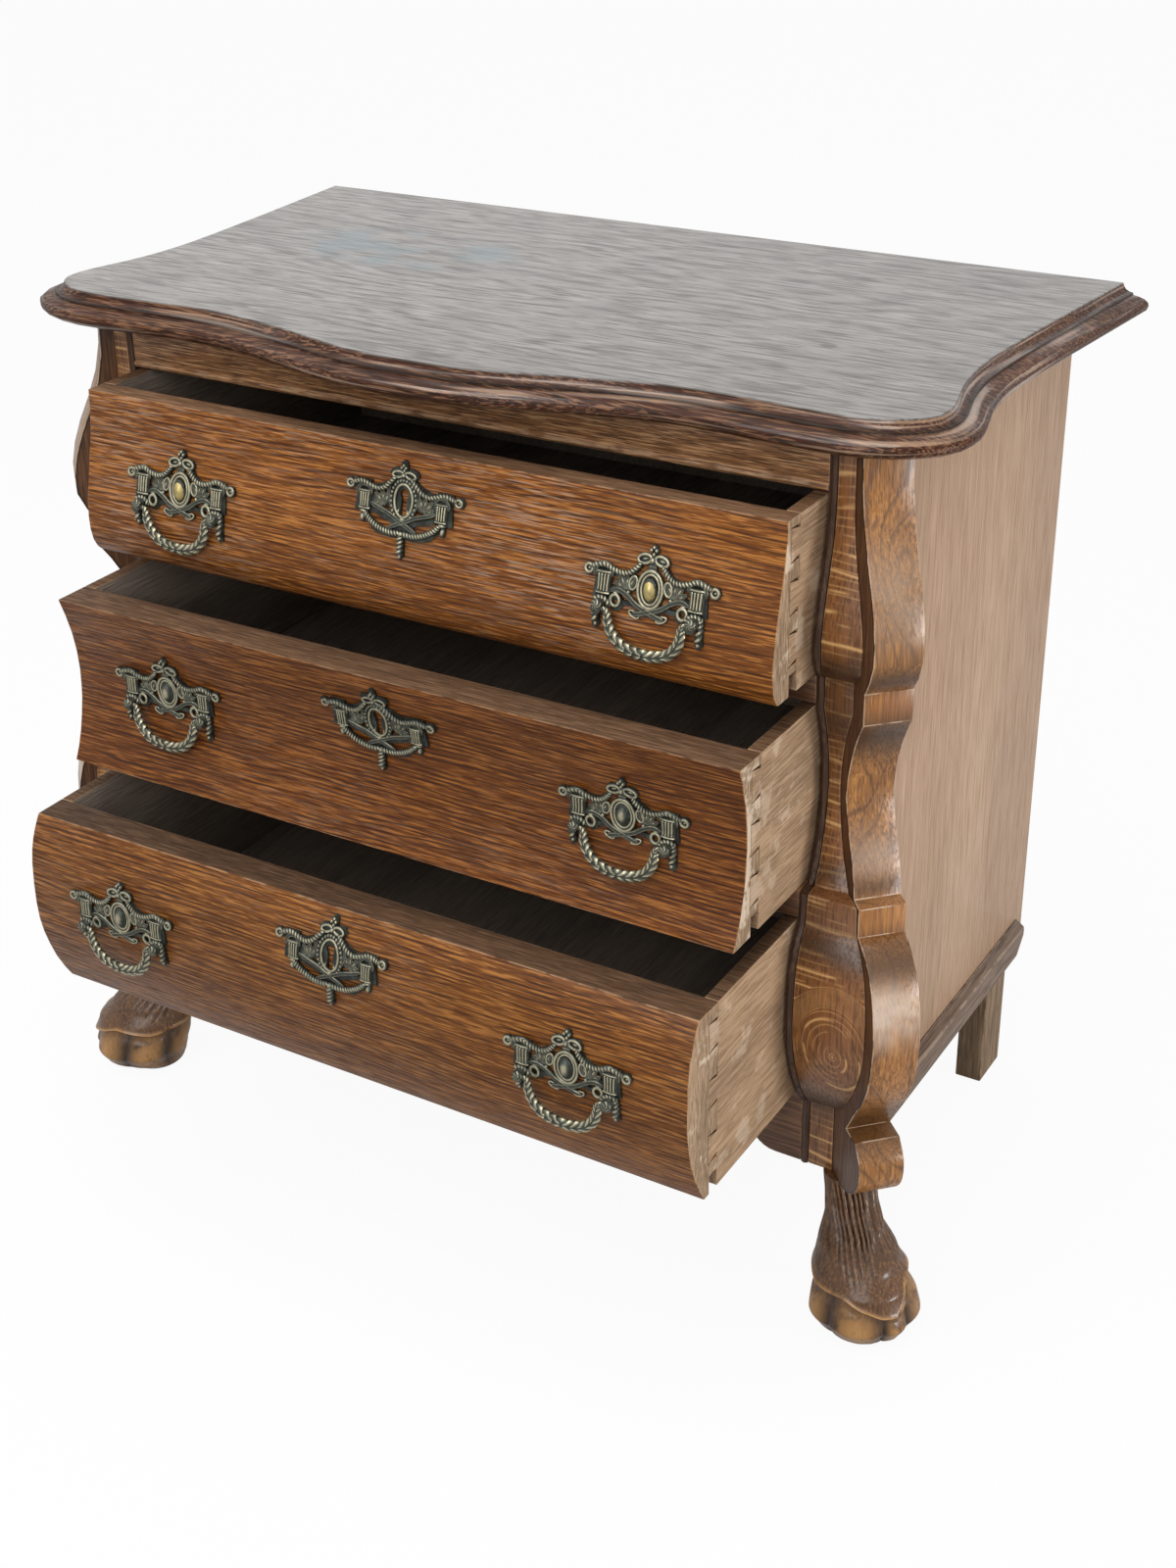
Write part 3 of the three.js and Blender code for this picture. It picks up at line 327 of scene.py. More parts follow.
@dataclass(frozen=True)
class Oak:
    """One cut and stain of oak.

    The scales of fibre and figure are per metre, first along the fibres and then across
    them. Of the dark ring lines, line gives how often they break, per metre, and how far
    they lie apart. Each share is how much of its colour shows, from 0 to 1.
    """

    name: str
    ground: Colour
    streak: Colour
    pore: Colour
    grain: Grain
    fibre: tuple[float, float] = (18.0, 400.0)
    figure: tuple[float, float] = (1.6, 16.0)
    figure_depth: float = 0.72
    streak_share: float = 0.6
    pore_share: float = 0.5
    sharpness: float = 1.0
    line: tuple[float, float] = (22.0, 0.0042)
    line_share: float = 0.0
    # Whitened fibres: partly pale pores, partly painted sheen.
    dust: Colour = (0.52, 0.37, 0.27)
    dust_share: float = 0.0
    fleck: Colour = (0.5, 0.3, 0.14)
    fleck_share: float = 0.0
    fleck_rows: tuple[FleckRow, ...] = (
        FleckRow(0.0067, 3.6, 40.0, 0.45, 9.0), FleckRow(0.0173, 2.6, 26.0, 1.0, 22.0),
    )
    swirl_place: tuple[float, float] = (0.268, 0.365)
    swirl_half: tuple[float, float] = (0.06, 0.042)
    patch: Colour = (0.62, 0.5, 0.38)
    patch_share: float = 0.0
    ring_share: float = 0.0
    worn: Colour = (0.42, 0.25, 0.12)
    worn_share: float = 0.4
    chipped: float = 0.38
    soot_share: float = 0.25
    # Levels of painted shade and of painted sheen.
    bands: tuple[ShadedBand, ...] = ()
    roughness: float = 0.42
    coat: float = 0.1
    sheen_level: float = 0.35
    depth: float = 0.00025

    def darker(self, share: float) -> Colour:
        """Gives the ground colour with a share of its light."""
        return tuple(channel * share for channel in self.ground)

    def fibres(self, graph: Graph) -> tuple[Value, Value, Value]:
        """Gives the object coordinates along and across the fibres.

        Args:
            graph: The material's graph.

        Returns:
            Along, across and the third way.
        """
        x, y, z = graph.parts(graph.place())
        ways = {Grain.ALONG_WIDTH: (x, z, y), Grain.ALONG_DEPTH: (y, z, x), Grain.UPRIGHT: (z, x, y)}
        return ways[self.grain]

    def tone(self, graph: Graph) -> tuple[bpy.types.NodeSocket, Value, Value]:
        """Builds the wood's colour.

        Args:
            graph: The material's graph.

        Returns:
            The colour, the pores and the figure.
        """
        along, across, third = self.fibres(graph)

        def read(scales: tuple[float, float], detail: float, bend: float = 0.0, rough: float = 0.5) -> Value:
            """Reads a noise that is stretched along the fibres."""
            spot = graph.vector(along * scales[0], across * scales[1], third * scales[1])
            return graph.noise(spot, 1.0, detail, rough, bend)

        # Broad and fine fibres together make the pale streaks, and finer ones the pores.
        figure = read(self.figure, 3.0, 0.6)
        fibre = read(self.fibre, 2.0, 0.0, 0.6)
        fine = read((self.fibre[0] * 2.4, self.fibre[1] * 2.3), 1.0)
        spread = 0.12 / self.sharpness
        streaks = (fibre * 0.75 + fine * 0.25 + (figure - 0.5) * 0.12).ramp(0.49, 0.49 + spread)
        pores = read((self.fibre[0] * 1.3, self.fibre[1] * 1.1), 2.0).ramp(0.5, 0.5 + spread)
        colour = graph.mix(figure.ramp(0.34, 0.66), self.darker(self.figure_depth), self.ground)
        colour = graph.mix(pores * self.pore_share, colour, self.pore)
        colour = graph.mix(streaks * self.streak_share, colour, self.streak)
        # Dark ring lines lie evenly, wander a little and break along the fibres.
        if self.line_share:
            wander = graph.noise(graph.vector(along * 3.2, across * 13.0, third * 13.0), 1.0, 2.0)
            lines = ((across / self.line[1] + third * 40.0 + wander * 9.0) * math.tau).sine() * 0.5 + 0.5
            lines = (lines ** 2.0) * read((self.line[0], 330.0), 1.5, 0.0, 0.6).ramp(0.4, 0.56)
            colour = graph.mix(lines * self.line_share, colour, self.pore)
        # Whitened fibres lie in patches, partly pale pores and partly painted sheen over them.
        if self.dust_share:
            dust_and_sheen_mask = read((self.fibre[0] * 1.1, self.fibre[1] * 1.3), 1.5, 0.0, 0.6).ramp(0.52, 0.62)
            dust_and_sheen_mask = dust_and_sheen_mask * graph.noise(graph.place(), 5.0, 3.0).ramp(0.4, 0.66)
            colour = graph.mix(dust_and_sheen_mask * self.dust_share, colour, self.dust)
        # Thin dark rings bow over a face that is carved through them.
        if self.ring_share:
            bow = graph.noise(graph.vector(along * 4.6, across * 15.0, third * 15.0), 1.0, 0.6)
            rings = ((bow * 96.0).sine() * 0.5 + 0.5) ** 14.0
            colour = graph.mix(rings * self.ring_share, colour, self.pore)
        # Pale flecks cross the fibres and turn round a swirl where the board bulges.
        if self.fleck_share:
            wave = graph.noise(graph.vector(along * 14.0, across * 7.0, third * 7.0), 1.0, 1.5)
            swirl = graph.oval(along, abs(across), self.swirl_place, self.swirl_half) ** 0.5
            level = graph.blend(swirl.ramp(1.1, 0.75), along, swirl * self.swirl_half[0])
            for row in self.fleck_rows:
                lines = ((level / row.spacing + wave * row.waviness) * math.tau).sine() * 0.5 + 0.5
                spot = graph.vector(along * 50.0, across * row.breaks, third * row.breaks)
                rays = (lines ** row.fineness) * graph.noise(spot, 1.0, 1.5).ramp(0.42, 0.56)
                colour = graph.mix(rays * (self.fleck_share * row.share), colour, self.fleck)
        return colour, pores, figure

    def material(self) -> bpy.types.Material:
        """Builds the material.

        Returns:
            The material.
        """
        graph = Graph.material(self.name)
        colour, pores, figure = self.tone(graph)
        place = graph.place()
        height = graph.parts(place)[2]
        # Levels of painted shade, and levels of a tint laid in patches, which is painted sheen where the tint
        # is pale.
        for band in self.bands:
            near = abs(height - band.level).ramp(band.reach, 0.0)
            if band.tint:
                near = near * graph.noise(place, 24.0, 3.0, 0.6).ramp(0.2, 0.62)
            colour = graph.mix(near * band.strength, colour, band.tint or self.darker(0.2))
        # Smears of old glue.
        if self.patch_share:
            smear = graph.noise(place, 26.0, 4.0, 0.6).ramp(0.53, 0.6)
            colour = graph.mix(smear * self.patch_share, colour, self.patch)
        # Old grime in clouds, painted shade in grooves and recesses, and pale wood on the arrises that is
        # partly worn and partly a painted highlight.
        cloud = graph.noise(place, 9.0, 3.0)
        colour = graph.mix(cloud.ramp(0.5, 0.85) * self.soot_share, colour, self.darker(0.4))
        colour = graph.mix(graph.attribute("hollow"), colour, self.darker(0.16))
        # The arrises are painted pale, partly as wear and partly as a painted highlight.
        rub = graph.attribute("rubbed") * graph.noise(place, 60.0, 3.0).ramp(self.chipped, self.chipped + 0.2)
        colour = graph.mix(rub * self.worn_share, colour, self.worn)
        rough = figure * -0.12 + pores * 0.2 + (self.roughness + 0.06)
        bump = graph.bump(1.0 - pores, self.depth)
        return graph.surface(
            Base_Color=colour, Roughness=rough, Normal=bump, Coat_Weight=self.coat, Coat_Roughness=0.22,
            Specular_IOR_Level=self.sheen_level,
        )


@dataclass(frozen=True)
class PolishedTop:
    """The polished top, grey partly with age and partly as painted reflection of the room, with a bluish
    spill and a knot, darker on its moulded rim.

    The rim's oak begins over the edge band, and a dark line of painted shade runs round the cove
    hollow_drop below the flat level; pale lines along the mouldings are partly worn wood and partly
    painted highlight. Places and sizes are in metres.
    """

    board: Oak
    rim: Oak
    flat_level: float
    name: str = "top_oak_polished"
    sheen_level: float = 0.4
    stain: Colour = (0.085, 0.125, 0.14)
    spill_place: tuple[float, float] = (-0.19, 0.13)
    spill_half: tuple[float, float] = (0.13, 0.07)
    knot: Colour = (0.03, 0.02, 0.015)
    knot_place: tuple[float, float] = (0.263, 0.035)
    knot_half: tuple[float, float] = (0.007, 0.005)
    edge_band: tuple[float, float] = (0.0004, 0.0016)
    hollow_drop: float = 0.0075
    hollow_reach: float = 0.0022

    def material(self) -> bpy.types.Material:
        """Builds the material.

        Returns:
            The material.
        """
        graph = Graph.material(self.name)
        flat, pores, figure = self.board.tone(graph)
        edge, _, _ = self.rim.tone(graph)
        place = graph.place()
        x, y, z = graph.parts(place)
        spill = graph.oval(x, y, self.spill_place, self.spill_half).ramp(1.0, 0.35)
        spill = spill * graph.noise(place, 22.0, 3.0).ramp(0.4, 0.6)
        flat = graph.mix(spill * 0.65, flat, self.stain)
        knot = graph.oval(x, y, self.knot_place, self.knot_half).ramp(1.6, 0.3)
        flat = graph.mix(knot * 0.8, flat, self.knot)
        # Pale lines along the rim's mouldings, partly worn wood and partly painted highlight; the same lines
        # carry the rim's coat.
        ridge = graph.noise(graph.vector(x * 7.0, y * 7.0, z * 420.0), 1.0, 2.0)
        edge = graph.mix(ridge.ramp(0.56, 0.7) * 0.4, edge, self.rim.worn)
        # A dark line of painted shade in the cove.
        hollow = abs(z - (self.flat_level - self.hollow_drop)).ramp(self.hollow_reach, 0.0)
        edge = graph.mix(hollow * 0.75, edge, self.rim.pore)
        below = z.ramp(self.flat_level - self.edge_band[0], self.flat_level - self.edge_band[1])
        colour = graph.mix(below, flat, edge)
        smear = graph.noise(place, 5.0, 4.0, 0.6)
        gloss = graph.blend(below, smear * 0.4 + (self.board.coat - 0.26), ridge.ramp(0.46, 0.7))
        rough = smear * 0.16 + pores * 0.1 + figure * 0.04 + (self.board.roughness - 0.12)
        bump = graph.bump(1.0 - pores, 0.00012)
        return graph.surface(
            Base_Color=colour, Roughness=rough, Normal=bump, Coat_Weight=gloss, Coat_Roughness=0.08,
            Specular_IOR_Level=self.sheen_level,
        )


@dataclass(frozen=True)
class AgedBrass:
    """Cast brass with a dark greenish patina, worn bright where it stands proud."""

    patina: Colour = (0.018, 0.019, 0.015)
    cast: Colour = (0.054, 0.058, 0.046)
    bright: Colour = (0.44, 0.4, 0.27)
    green: Colour = (0.06, 0.075, 0.062)
    gilt: Colour = (0.42, 0.33, 0.13)

    def material(self) -> bpy.types.Material:
        """Builds the material.

        Returns:
            The material.
        """
        graph = Graph.material("aged_brass")
        place = graph.place()
        relief = graph.attribute("relief")
        grime = graph.noise(place, 240.0, 3.0)
        worn = (relief + grime * 0.4 - 0.2).ramp(0.64, 1.04)
        colour = graph.mix(relief.ramp(0.12, 0.7), self.patina, self.cast)
        colour = graph.mix(graph.noise(place, 130.0, 2.0).ramp(0.45, 0.65) * 0.5, colour, self.green)
        colour = graph.mix(worn, colour, self.bright)
        colour = graph.mix(graph.attribute("gilt") * grime.ramp(0.2, 0.45), colour, self.gilt)
        rough = grime * 0.25 + (0.36 - worn * 0.14)
        metal = worn * 0.35 + 0.5
        bump = graph.bump(grime, 0.0003, 0.5)
        return graph.surface(Base_Color=colour, Metallic=metal, Roughness=rough, Normal=bump)


# ------------------------------------------------------------------------ work bench


class Bench:
    """The operators that shape a mesh, as by hand."""

    def __init__(self, frame: dict) -> None:
        """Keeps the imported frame."""
        self.frame = frame

    @staticmethod
    def only(obj: bpy.types.Object) -> None:
        """Leaves one object selected and active.

        Args:
            obj: The object.
        """
        for other in bpy.context.view_layer.objects:
            other.select_set(False)
        obj.select_set(True)
        bpy.context.view_layer.objects.active = obj

    def edit(self, obj: bpy.types.Object, *steps: Callable[[], object]) -> None:
        """Runs operators on a whole mesh in edit mode.

        Args:
            obj: The mesh object.
            steps: The operators.
        """
        self.only(obj)
        bpy.ops.object.mode_set(mode="EDIT")
        bpy.ops.mesh.select_all(action="SELECT")
        for step in steps:
            step()
        bpy.ops.object.mode_set(mode="OBJECT")

    def outward(self, obj: bpy.types.Object) -> None:
        """Joins doubled corners and turns the faces outward.

        Args:
            obj: The mesh object.
        """
        self.edit(
            obj,
            lambda: bpy.ops.mesh.remove_doubles(threshold=DOUBLED),
            lambda: bpy.ops.mesh.normals_make_consistent(inside=False),
        )

    def copy_of(self, node: str, name: str) -> bpy.types.Object:
        """Copies a node's mesh with its corners joined and its flat faces merged.

        Args:
            node: The node's name.
            name: The new piece's name.

        Returns:
            The new piece.
        """
        mesh = self.frame["nodes"][node].data.copy()
        mesh.name = name
        mesh.materials.clear()
        made = bpy.data.objects.new(name, mesh)
        bpy.context.scene.collection.objects.link(made)
        self.edit(
            made,
            lambda: bpy.ops.mesh.customdata_custom_splitnormals_clear(),
            lambda: bpy.ops.mesh.remove_doubles(threshold=2 * DOUBLED),
            lambda: bpy.ops.mesh.dissolve_limited(angle_limit=FLAT_ANGLE),
        )
        return made

    def soften(self, obj: bpy.types.Object, width: float, sharp: float = 34.0, clamp: bool = True) -> None:
        """Rounds the arrises, marks them to be painted pale, as wear and as a painted highlight, and shades
        what is curved as curved.

        The rounding takes a second material slot for a moment, so that its faces are known.

        Args:
            obj: The piece.
            width: The width of the rounding, or 0 for none.
            sharp: The least angle of an arris, in degrees.
            clamp: Whether the shortest edge limits the width.
        """
        self.only(obj)
        if width:
            bevel = obj.modifiers.new("arris", "BEVEL")
            bevel.width = width
            bevel.segments = 2
            bevel.limit_method = "ANGLE"
            bevel.angle_limit = math.radians(sharp)
            bevel.use_clamp_overlap = clamp
            bevel.material = 1
            for _ in range(2):
                obj.data.materials.append(None)
            bpy.ops.object.modifier_apply(modifier=bevel.name)
            # The rounded faces are painted pale: worn wood, and a painted highlight along the arris.
            rubbed = obj.data.attributes.new("rubbed", "FLOAT", "FACE")
            for face in obj.data.polygons:
                rubbed.data[face.index].value = float(face.material_index == 1)
                face.material_index = 0
            obj.data.materials.clear()
        bpy.ops.object.shade_smooth_by_angle(angle=math.radians(sharp))

    @staticmethod
    def paint(
        obj: bpy.types.Object, materials: Sequence[bpy.types.Material],
        which: Callable[[bpy.types.MeshPolygon], int],
    ) -> None:
        """Adds materials to a piece and shares its faces out among all it has.

        Args:
            obj: The piece.
            materials: The materials to add.
            which: Gives the number of a face's material.
        """
        for material in materials:
            obj.data.materials.append(material)
        for face in obj.data.polygons:
            face.material_index = which(face)

    def wrapped(
        self, name: str, rings: int, sides: int, place: Place, layers: dict[str, Tone] | None = None,
    ) -> bpy.types.Object:
        """Wraps a grid into a closed tube-like skin.

        Args:
            name: The piece's name.
            rings: Steps along it.
            sides: Steps round it.
            place: Gives a corner's place from its shares along and round.
            layers: Give the numbers that the mesh carries, by their names.

        Returns:
            The piece.
        """
        bpy.ops.mesh.primitive_grid_add(x_subdivisions=rings, y_subdivisions=sides, size=2.0)
        made = bpy.context.object
        made.name = made.data.name = name
        shares = [((corner.co.x + 1) / 2, (corner.co.y + 1) / 2) for corner in made.data.vertices]
        for layer, tone in (layers or {}).items():
            carried = made.data.attributes.new(layer, "FLOAT", "POINT")
            carried.data.foreach_set("value", [tone(*share) for share in shares])
        for corner, share in zip(made.data.vertices, shares):
            corner.co = place(*share)
        self.edit(
            made,
            lambda: bpy.ops.mesh.remove_doubles(threshold=DOUBLED),
            lambda: bpy.ops.mesh.select_all(action="DESELECT"),
            lambda: bpy.ops.mesh.select_non_manifold(),
            lambda: bpy.ops.mesh.edge_face_add(),
            lambda: bpy.ops.mesh.select_all(action="SELECT"),
            lambda: bpy.ops.mesh.normals_make_consistent(inside=False),
        )
        return made

    def joined(self, pieces: Sequence[bpy.types.Object], name: str) -> bpy.types.Object:
        """Joins pieces into the first of them.

        Args:
            pieces: The pieces.
            name: The name of the whole.

        Returns:
            The whole.
        """
        self.only(pieces[0])
        for piece in pieces:
            piece.select_set(True)
        bpy.ops.object.join()
        pieces[0].name = pieces[0].data.name = name
        return pieces[0]

    def dress(
        self, obj: bpy.types.Object, body: str, slot: str, material: bpy.types.Material, *nodes: str
    ) -> None:
        """Gives a piece its finish and place in the frame.

        Args:
            obj: The piece.
            body: The body that it moves with.
            slot: The record's material slot; not used.
            material: Its material.
            nodes: The nodes that it stands for.
        """
        if not obj.data.materials:
            obj.data.materials.append(material)
        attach(obj, body)
        if nodes:
            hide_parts(*nodes)
        LOG.info("%s rides on %s, %d faces", obj.name, body, len(obj.data.polygons))


# --------------------------------------------------------------------------- carcass


@dataclass
class Carcass:
    """The case: top, sides, stiles, posts, rails and what is hidden behind."""

    bench: Bench
    arris: float = 0.0011
    rim_cut: float = 0.0004
    flank_inset: float = 0.0013
    # The pale tints at 0.65, 0.43 and 0.325 are painted sheen on the swells, the orange ones at 0.562 and
    # 0.386 warm the collars, and the untinted levels are painted shade where the swells turn in.
    post_bands: tuple[ShadedBand, ...] = (
        ShadedBand(0.65, 0.06, 0.55, (0.3, 0.22, 0.16)),
        ShadedBand(0.43, 0.034, 0.5, (0.36, 0.28, 0.22)),
        ShadedBand(0.325, 0.045, 0.8, (0.52, 0.42, 0.34)),
        ShadedBand(0.586, 0.02, 0.9), ShadedBand(0.562, 0.021, 0.65, (0.3, 0.11, 0.03)),
        ShadedBand(0.535, 0.04, 1.0), ShadedBand(0.408, 0.014, 0.7),
        ShadedBand(0.386, 0.021, 0.6, (0.38, 0.15, 0.038)),
        ShadedBand(0.358, 0.024, 0.85), ShadedBand(0.2, 0.045, 0.8),
    )
    # Every level of the stile is painted shade where its swells turn in.
    stile_bands: tuple[ShadedBand, ...] = (
        ShadedBand(0.584, 0.026, 0.95), ShadedBand(0.562, 0.02, 0.35), ShadedBand(0.536, 0.034, 0.85),
        ShadedBand(0.49, 0.05, 0.3), ShadedBand(0.41, 0.016, 0.75), ShadedBand(0.386, 0.018, 0.3),
        ShadedBand(0.36, 0.024, 0.9), ShadedBand(0.2, 0.04, 0.9),
    )

    def oaks(self) -> dict[str, Oak]:
        """Gives the cuts of oak of the case, but for its top.

        Returns:
            The oaks by the pieces that they are for.
        """
        upright, wide = Grain.UPRIGHT, Grain.ALONG_WIDTH
        return {
            "post": Oak(
                "post_oak_worn", (0.27, 0.11, 0.025), (0.47, 0.22, 0.06), (0.07, 0.025, 0.008), upright,
                fibre=(18.0, 520.0), figure=(7.0, 22.0), streak_share=0.5, pore_share=0.55, ring_share=0.6,
                worn=(0.5, 0.36, 0.26), worn_share=0.75, bands=self.post_bands, roughness=0.36, coat=0.3,
            ),
            "flank": Oak(
                "post_side_oak", (0.085, 0.036, 0.016), (0.14, 0.066, 0.03), (0.028, 0.012, 0.006), upright,
                worn=(0.46, 0.3, 0.17), worn_share=0.8, roughness=0.4,
            ),
            "stile": Oak(
                "stile_oak_flecked", (0.2, 0.074, 0.019), (0.31, 0.13, 0.04), (0.042, 0.015, 0.006), upright,
                fibre=(26.0, 460.0), streak_share=0.35, pore_share=0.6, fleck=(0.62, 0.36, 0.14),
                fleck_share=0.8, bands=self.stile_bands, roughness=0.38, coat=0.3,
            ),
            "bead": Oak(
                "bead_oak", (0.055, 0.024, 0.012), (0.1, 0.05, 0.024), (0.018, 0.009, 0.005), upright,
                worn=(0.3, 0.18, 0.09), worn_share=0.5, roughness=0.4, coat=0.1, sheen_level=0.25,
            ),
            "rail": Oak(
                "rail_oak", (0.31, 0.14, 0.056), (0.52, 0.29, 0.14), (0.065, 0.027, 0.011), wide,
                fibre=(30.0, 700.0), streak_share=0.8, pore_share=0.8, sharpness=1.4,
                worn=(0.5, 0.33, 0.2), roughness=0.4, coat=0.1,
            ),
            "apron": Oak(
                "apron_oak", (0.12, 0.05, 0.022), (0.19, 0.09, 0.042), (0.035, 0.016, 0.008), wide,
                worn=(0.3, 0.17, 0.08), roughness=0.4,
            ),
            "panel": Oak(
                "panel_oak_faded", (0.39, 0.245, 0.152), (0.5, 0.345, 0.235), (0.22, 0.125, 0.07), upright,
                fibre=(14.0, 430.0), figure=(0.8, 10.0), figure_depth=0.88, streak_share=0.5,
                pore_share=0.45, soot_share=0.12, roughness=0.46, coat=0.1,
            ),
            "strip": Oak(
                "strip_oak", (0.15, 0.09, 0.055), (0.24, 0.16, 0.105), (0.055, 0.032, 0.02),
                Grain.ALONG_DEPTH, worn=(0.3, 0.22, 0.16), worn_share=0.6, roughness=0.5, coat=0.1,
            ),
            "leg": Oak(
                "leg_oak", (0.2, 0.125, 0.068), (0.3, 0.205, 0.125), (0.07, 0.042, 0.025), upright,
                worn=(0.32, 0.22, 0.14), worn_share=0.5, roughness=0.6, coat=0.0,
            ),
            "inner": Oak(
                "inner_wood", (0.24, 0.165, 0.105), (0.34, 0.25, 0.17), (0.11, 0.072, 0.045), wide,
                fibre=(16.0, 420.0), streak_share=0.5, pore_share=0.45, worn_share=0.2, roughness=0.75,
                coat=0.0,
            ),
        }

    def top_board(self) -> None:
        """Dresses the top, whose flat face is polished more than its moulded rim."""
        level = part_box("top_board")[1].z
        # The greyish colours of the flat face are partly aged oak and partly painted reflection of the white
        # room on the polish.
        board = Oak(
            "top_board_face", (0.15, 0.135, 0.123), (0.26, 0.245, 0.23), (0.035, 0.027, 0.022),
            Grain.ALONG_WIDTH, fibre=(24.0, 350.0), figure_depth=0.9, streak_share=0.6, pore_share=0.55,
            line=(16.0, 0.0085), line_share=0.8, soot_share=0.12, roughness=0.34, coat=0.4,
        )
        rim = Oak(
            "top_board_rim", (0.05, 0.017, 0.009), (0.2, 0.1, 0.052), (0.009, 0.005, 0.003),
            Grain.ALONG_WIDTH, fibre=(26.0, 560.0), streak_share=0.7, pore_share=0.8,
            worn=(0.42, 0.25, 0.14), roughness=0.25,
        )
        face = PolishedTop(board, rim, level).material()
        nose = PolishedTop(board, rim, level, "top_rim_polished", 0.1).material()
        made = self.piece("top_board", "top_oak", face, 0.0, 42.0)
        self.bench.paint(made, [nose], lambda part: int(part.center.z < level - self.rim_cut))

    def build(self) -> None:
        """Dresses every piece of the case."""
        self.top_board()
        looks = {name: oak.material() for name, oak in self.oaks().items()}
        self.piece("top_rail", "frame_oak", looks["rail"], self.arris)
        for name in ("drawer_rail_upper", "drawer_rail_lower", "apron"):
            self.piece(name, "frame_oak", looks["apron"], self.arris)
        for name in ("back_panel", "rear_rail_top", "rear_rail_bottom"):
            self.piece(name, "inner_wood", looks["inner"], self.arris)
        for side in Side:
            self.piece(f"side_panel_{side.word}", "panel_oak", looks["panel"], self.arris)
            self.piece(f"base_strip_{side.word}", "panel_oak", looks["strip"], 1.6 * self.arris)
            self.piece(f"front_stile_{side.word}", "frame_oak", looks["stile"], self.arris)
            self.piece(f"opening_bead_{side.word}", "frame_oak", looks["bead"], 0.0)
            self.post(side, looks["post"], looks["flank"])
            self.piece(f"rear_leg_{side.word}", "panel_oak", looks["leg"], 1.4 * self.arris)
            for drawer in ("top", "middle", "bottom"):
                self.piece(f"runner_{drawer}_{side.word}", "inner_wood", looks["inner"], self.arris)

    def post(self, side: Side, face: bpy.types.Material, flank: bpy.types.Material) -> None:
        """Dresses a corner post, whose flat flanks are coloured darker than its face, with painted shade
        round their edges.

        Args:
            side: The end of the chest that it stands at.
            face: The oak of its carved face.
            flank: The oak of its flanks.
        """
        node = f"corner_post_{side.word}"
        made = self.bench.copy_of(node, f"{node}_wood")
        self.bench.soften(made, 0.6 * self.arris, 30.0, clamp=False)
        across = Vector((side.value, 1, 0)).normalized()
        self.bench.paint(made, [face, flank], lambda part: int(abs(part.normal.dot(across)) > 0.9))
        for part in made.data.polygons:
            part.select = part.material_index == 1 and part.area > 0.001
        self.bench.only(made)
        bpy.ops.object.mode_set(mode="EDIT")
        bpy.ops.mesh.inset(thickness=self.flank_inset, depth=0.0)
        bpy.ops.object.mode_set(mode="OBJECT")
        # The strip that the inset leaves round each flank, and each small flank face, get painted shade.
        hollow = made.data.attributes.new("hollow", "FLOAT", "FACE")
        for part in made.data.polygons:
            hollow.data[part.index].value = float(part.material_index == 1 and not part.select)
        self.bench.dress(made, "carcass", "post_oak", face, node)

    def piece(
        self, node: str, slot: str, material: bpy.types.Material, arris: float, sharp: float = 30.0
    ) -> bpy.types.Object:
        """Dresses one piece.

        Args:
            node: The node that it follows.
            slot: The record's material slot.
            material: Its material.
            arris: The rounding of its arrises.
            sharp: The least angle of an arris, in degrees.

        Returns:
            The piece.
        """
        made = self.bench.copy_of(node, f"{node}_wood")
        self.bench.soften(made, arris, sharp)
        self.bench.dress(made, "carcass", slot, material, node)
        return made


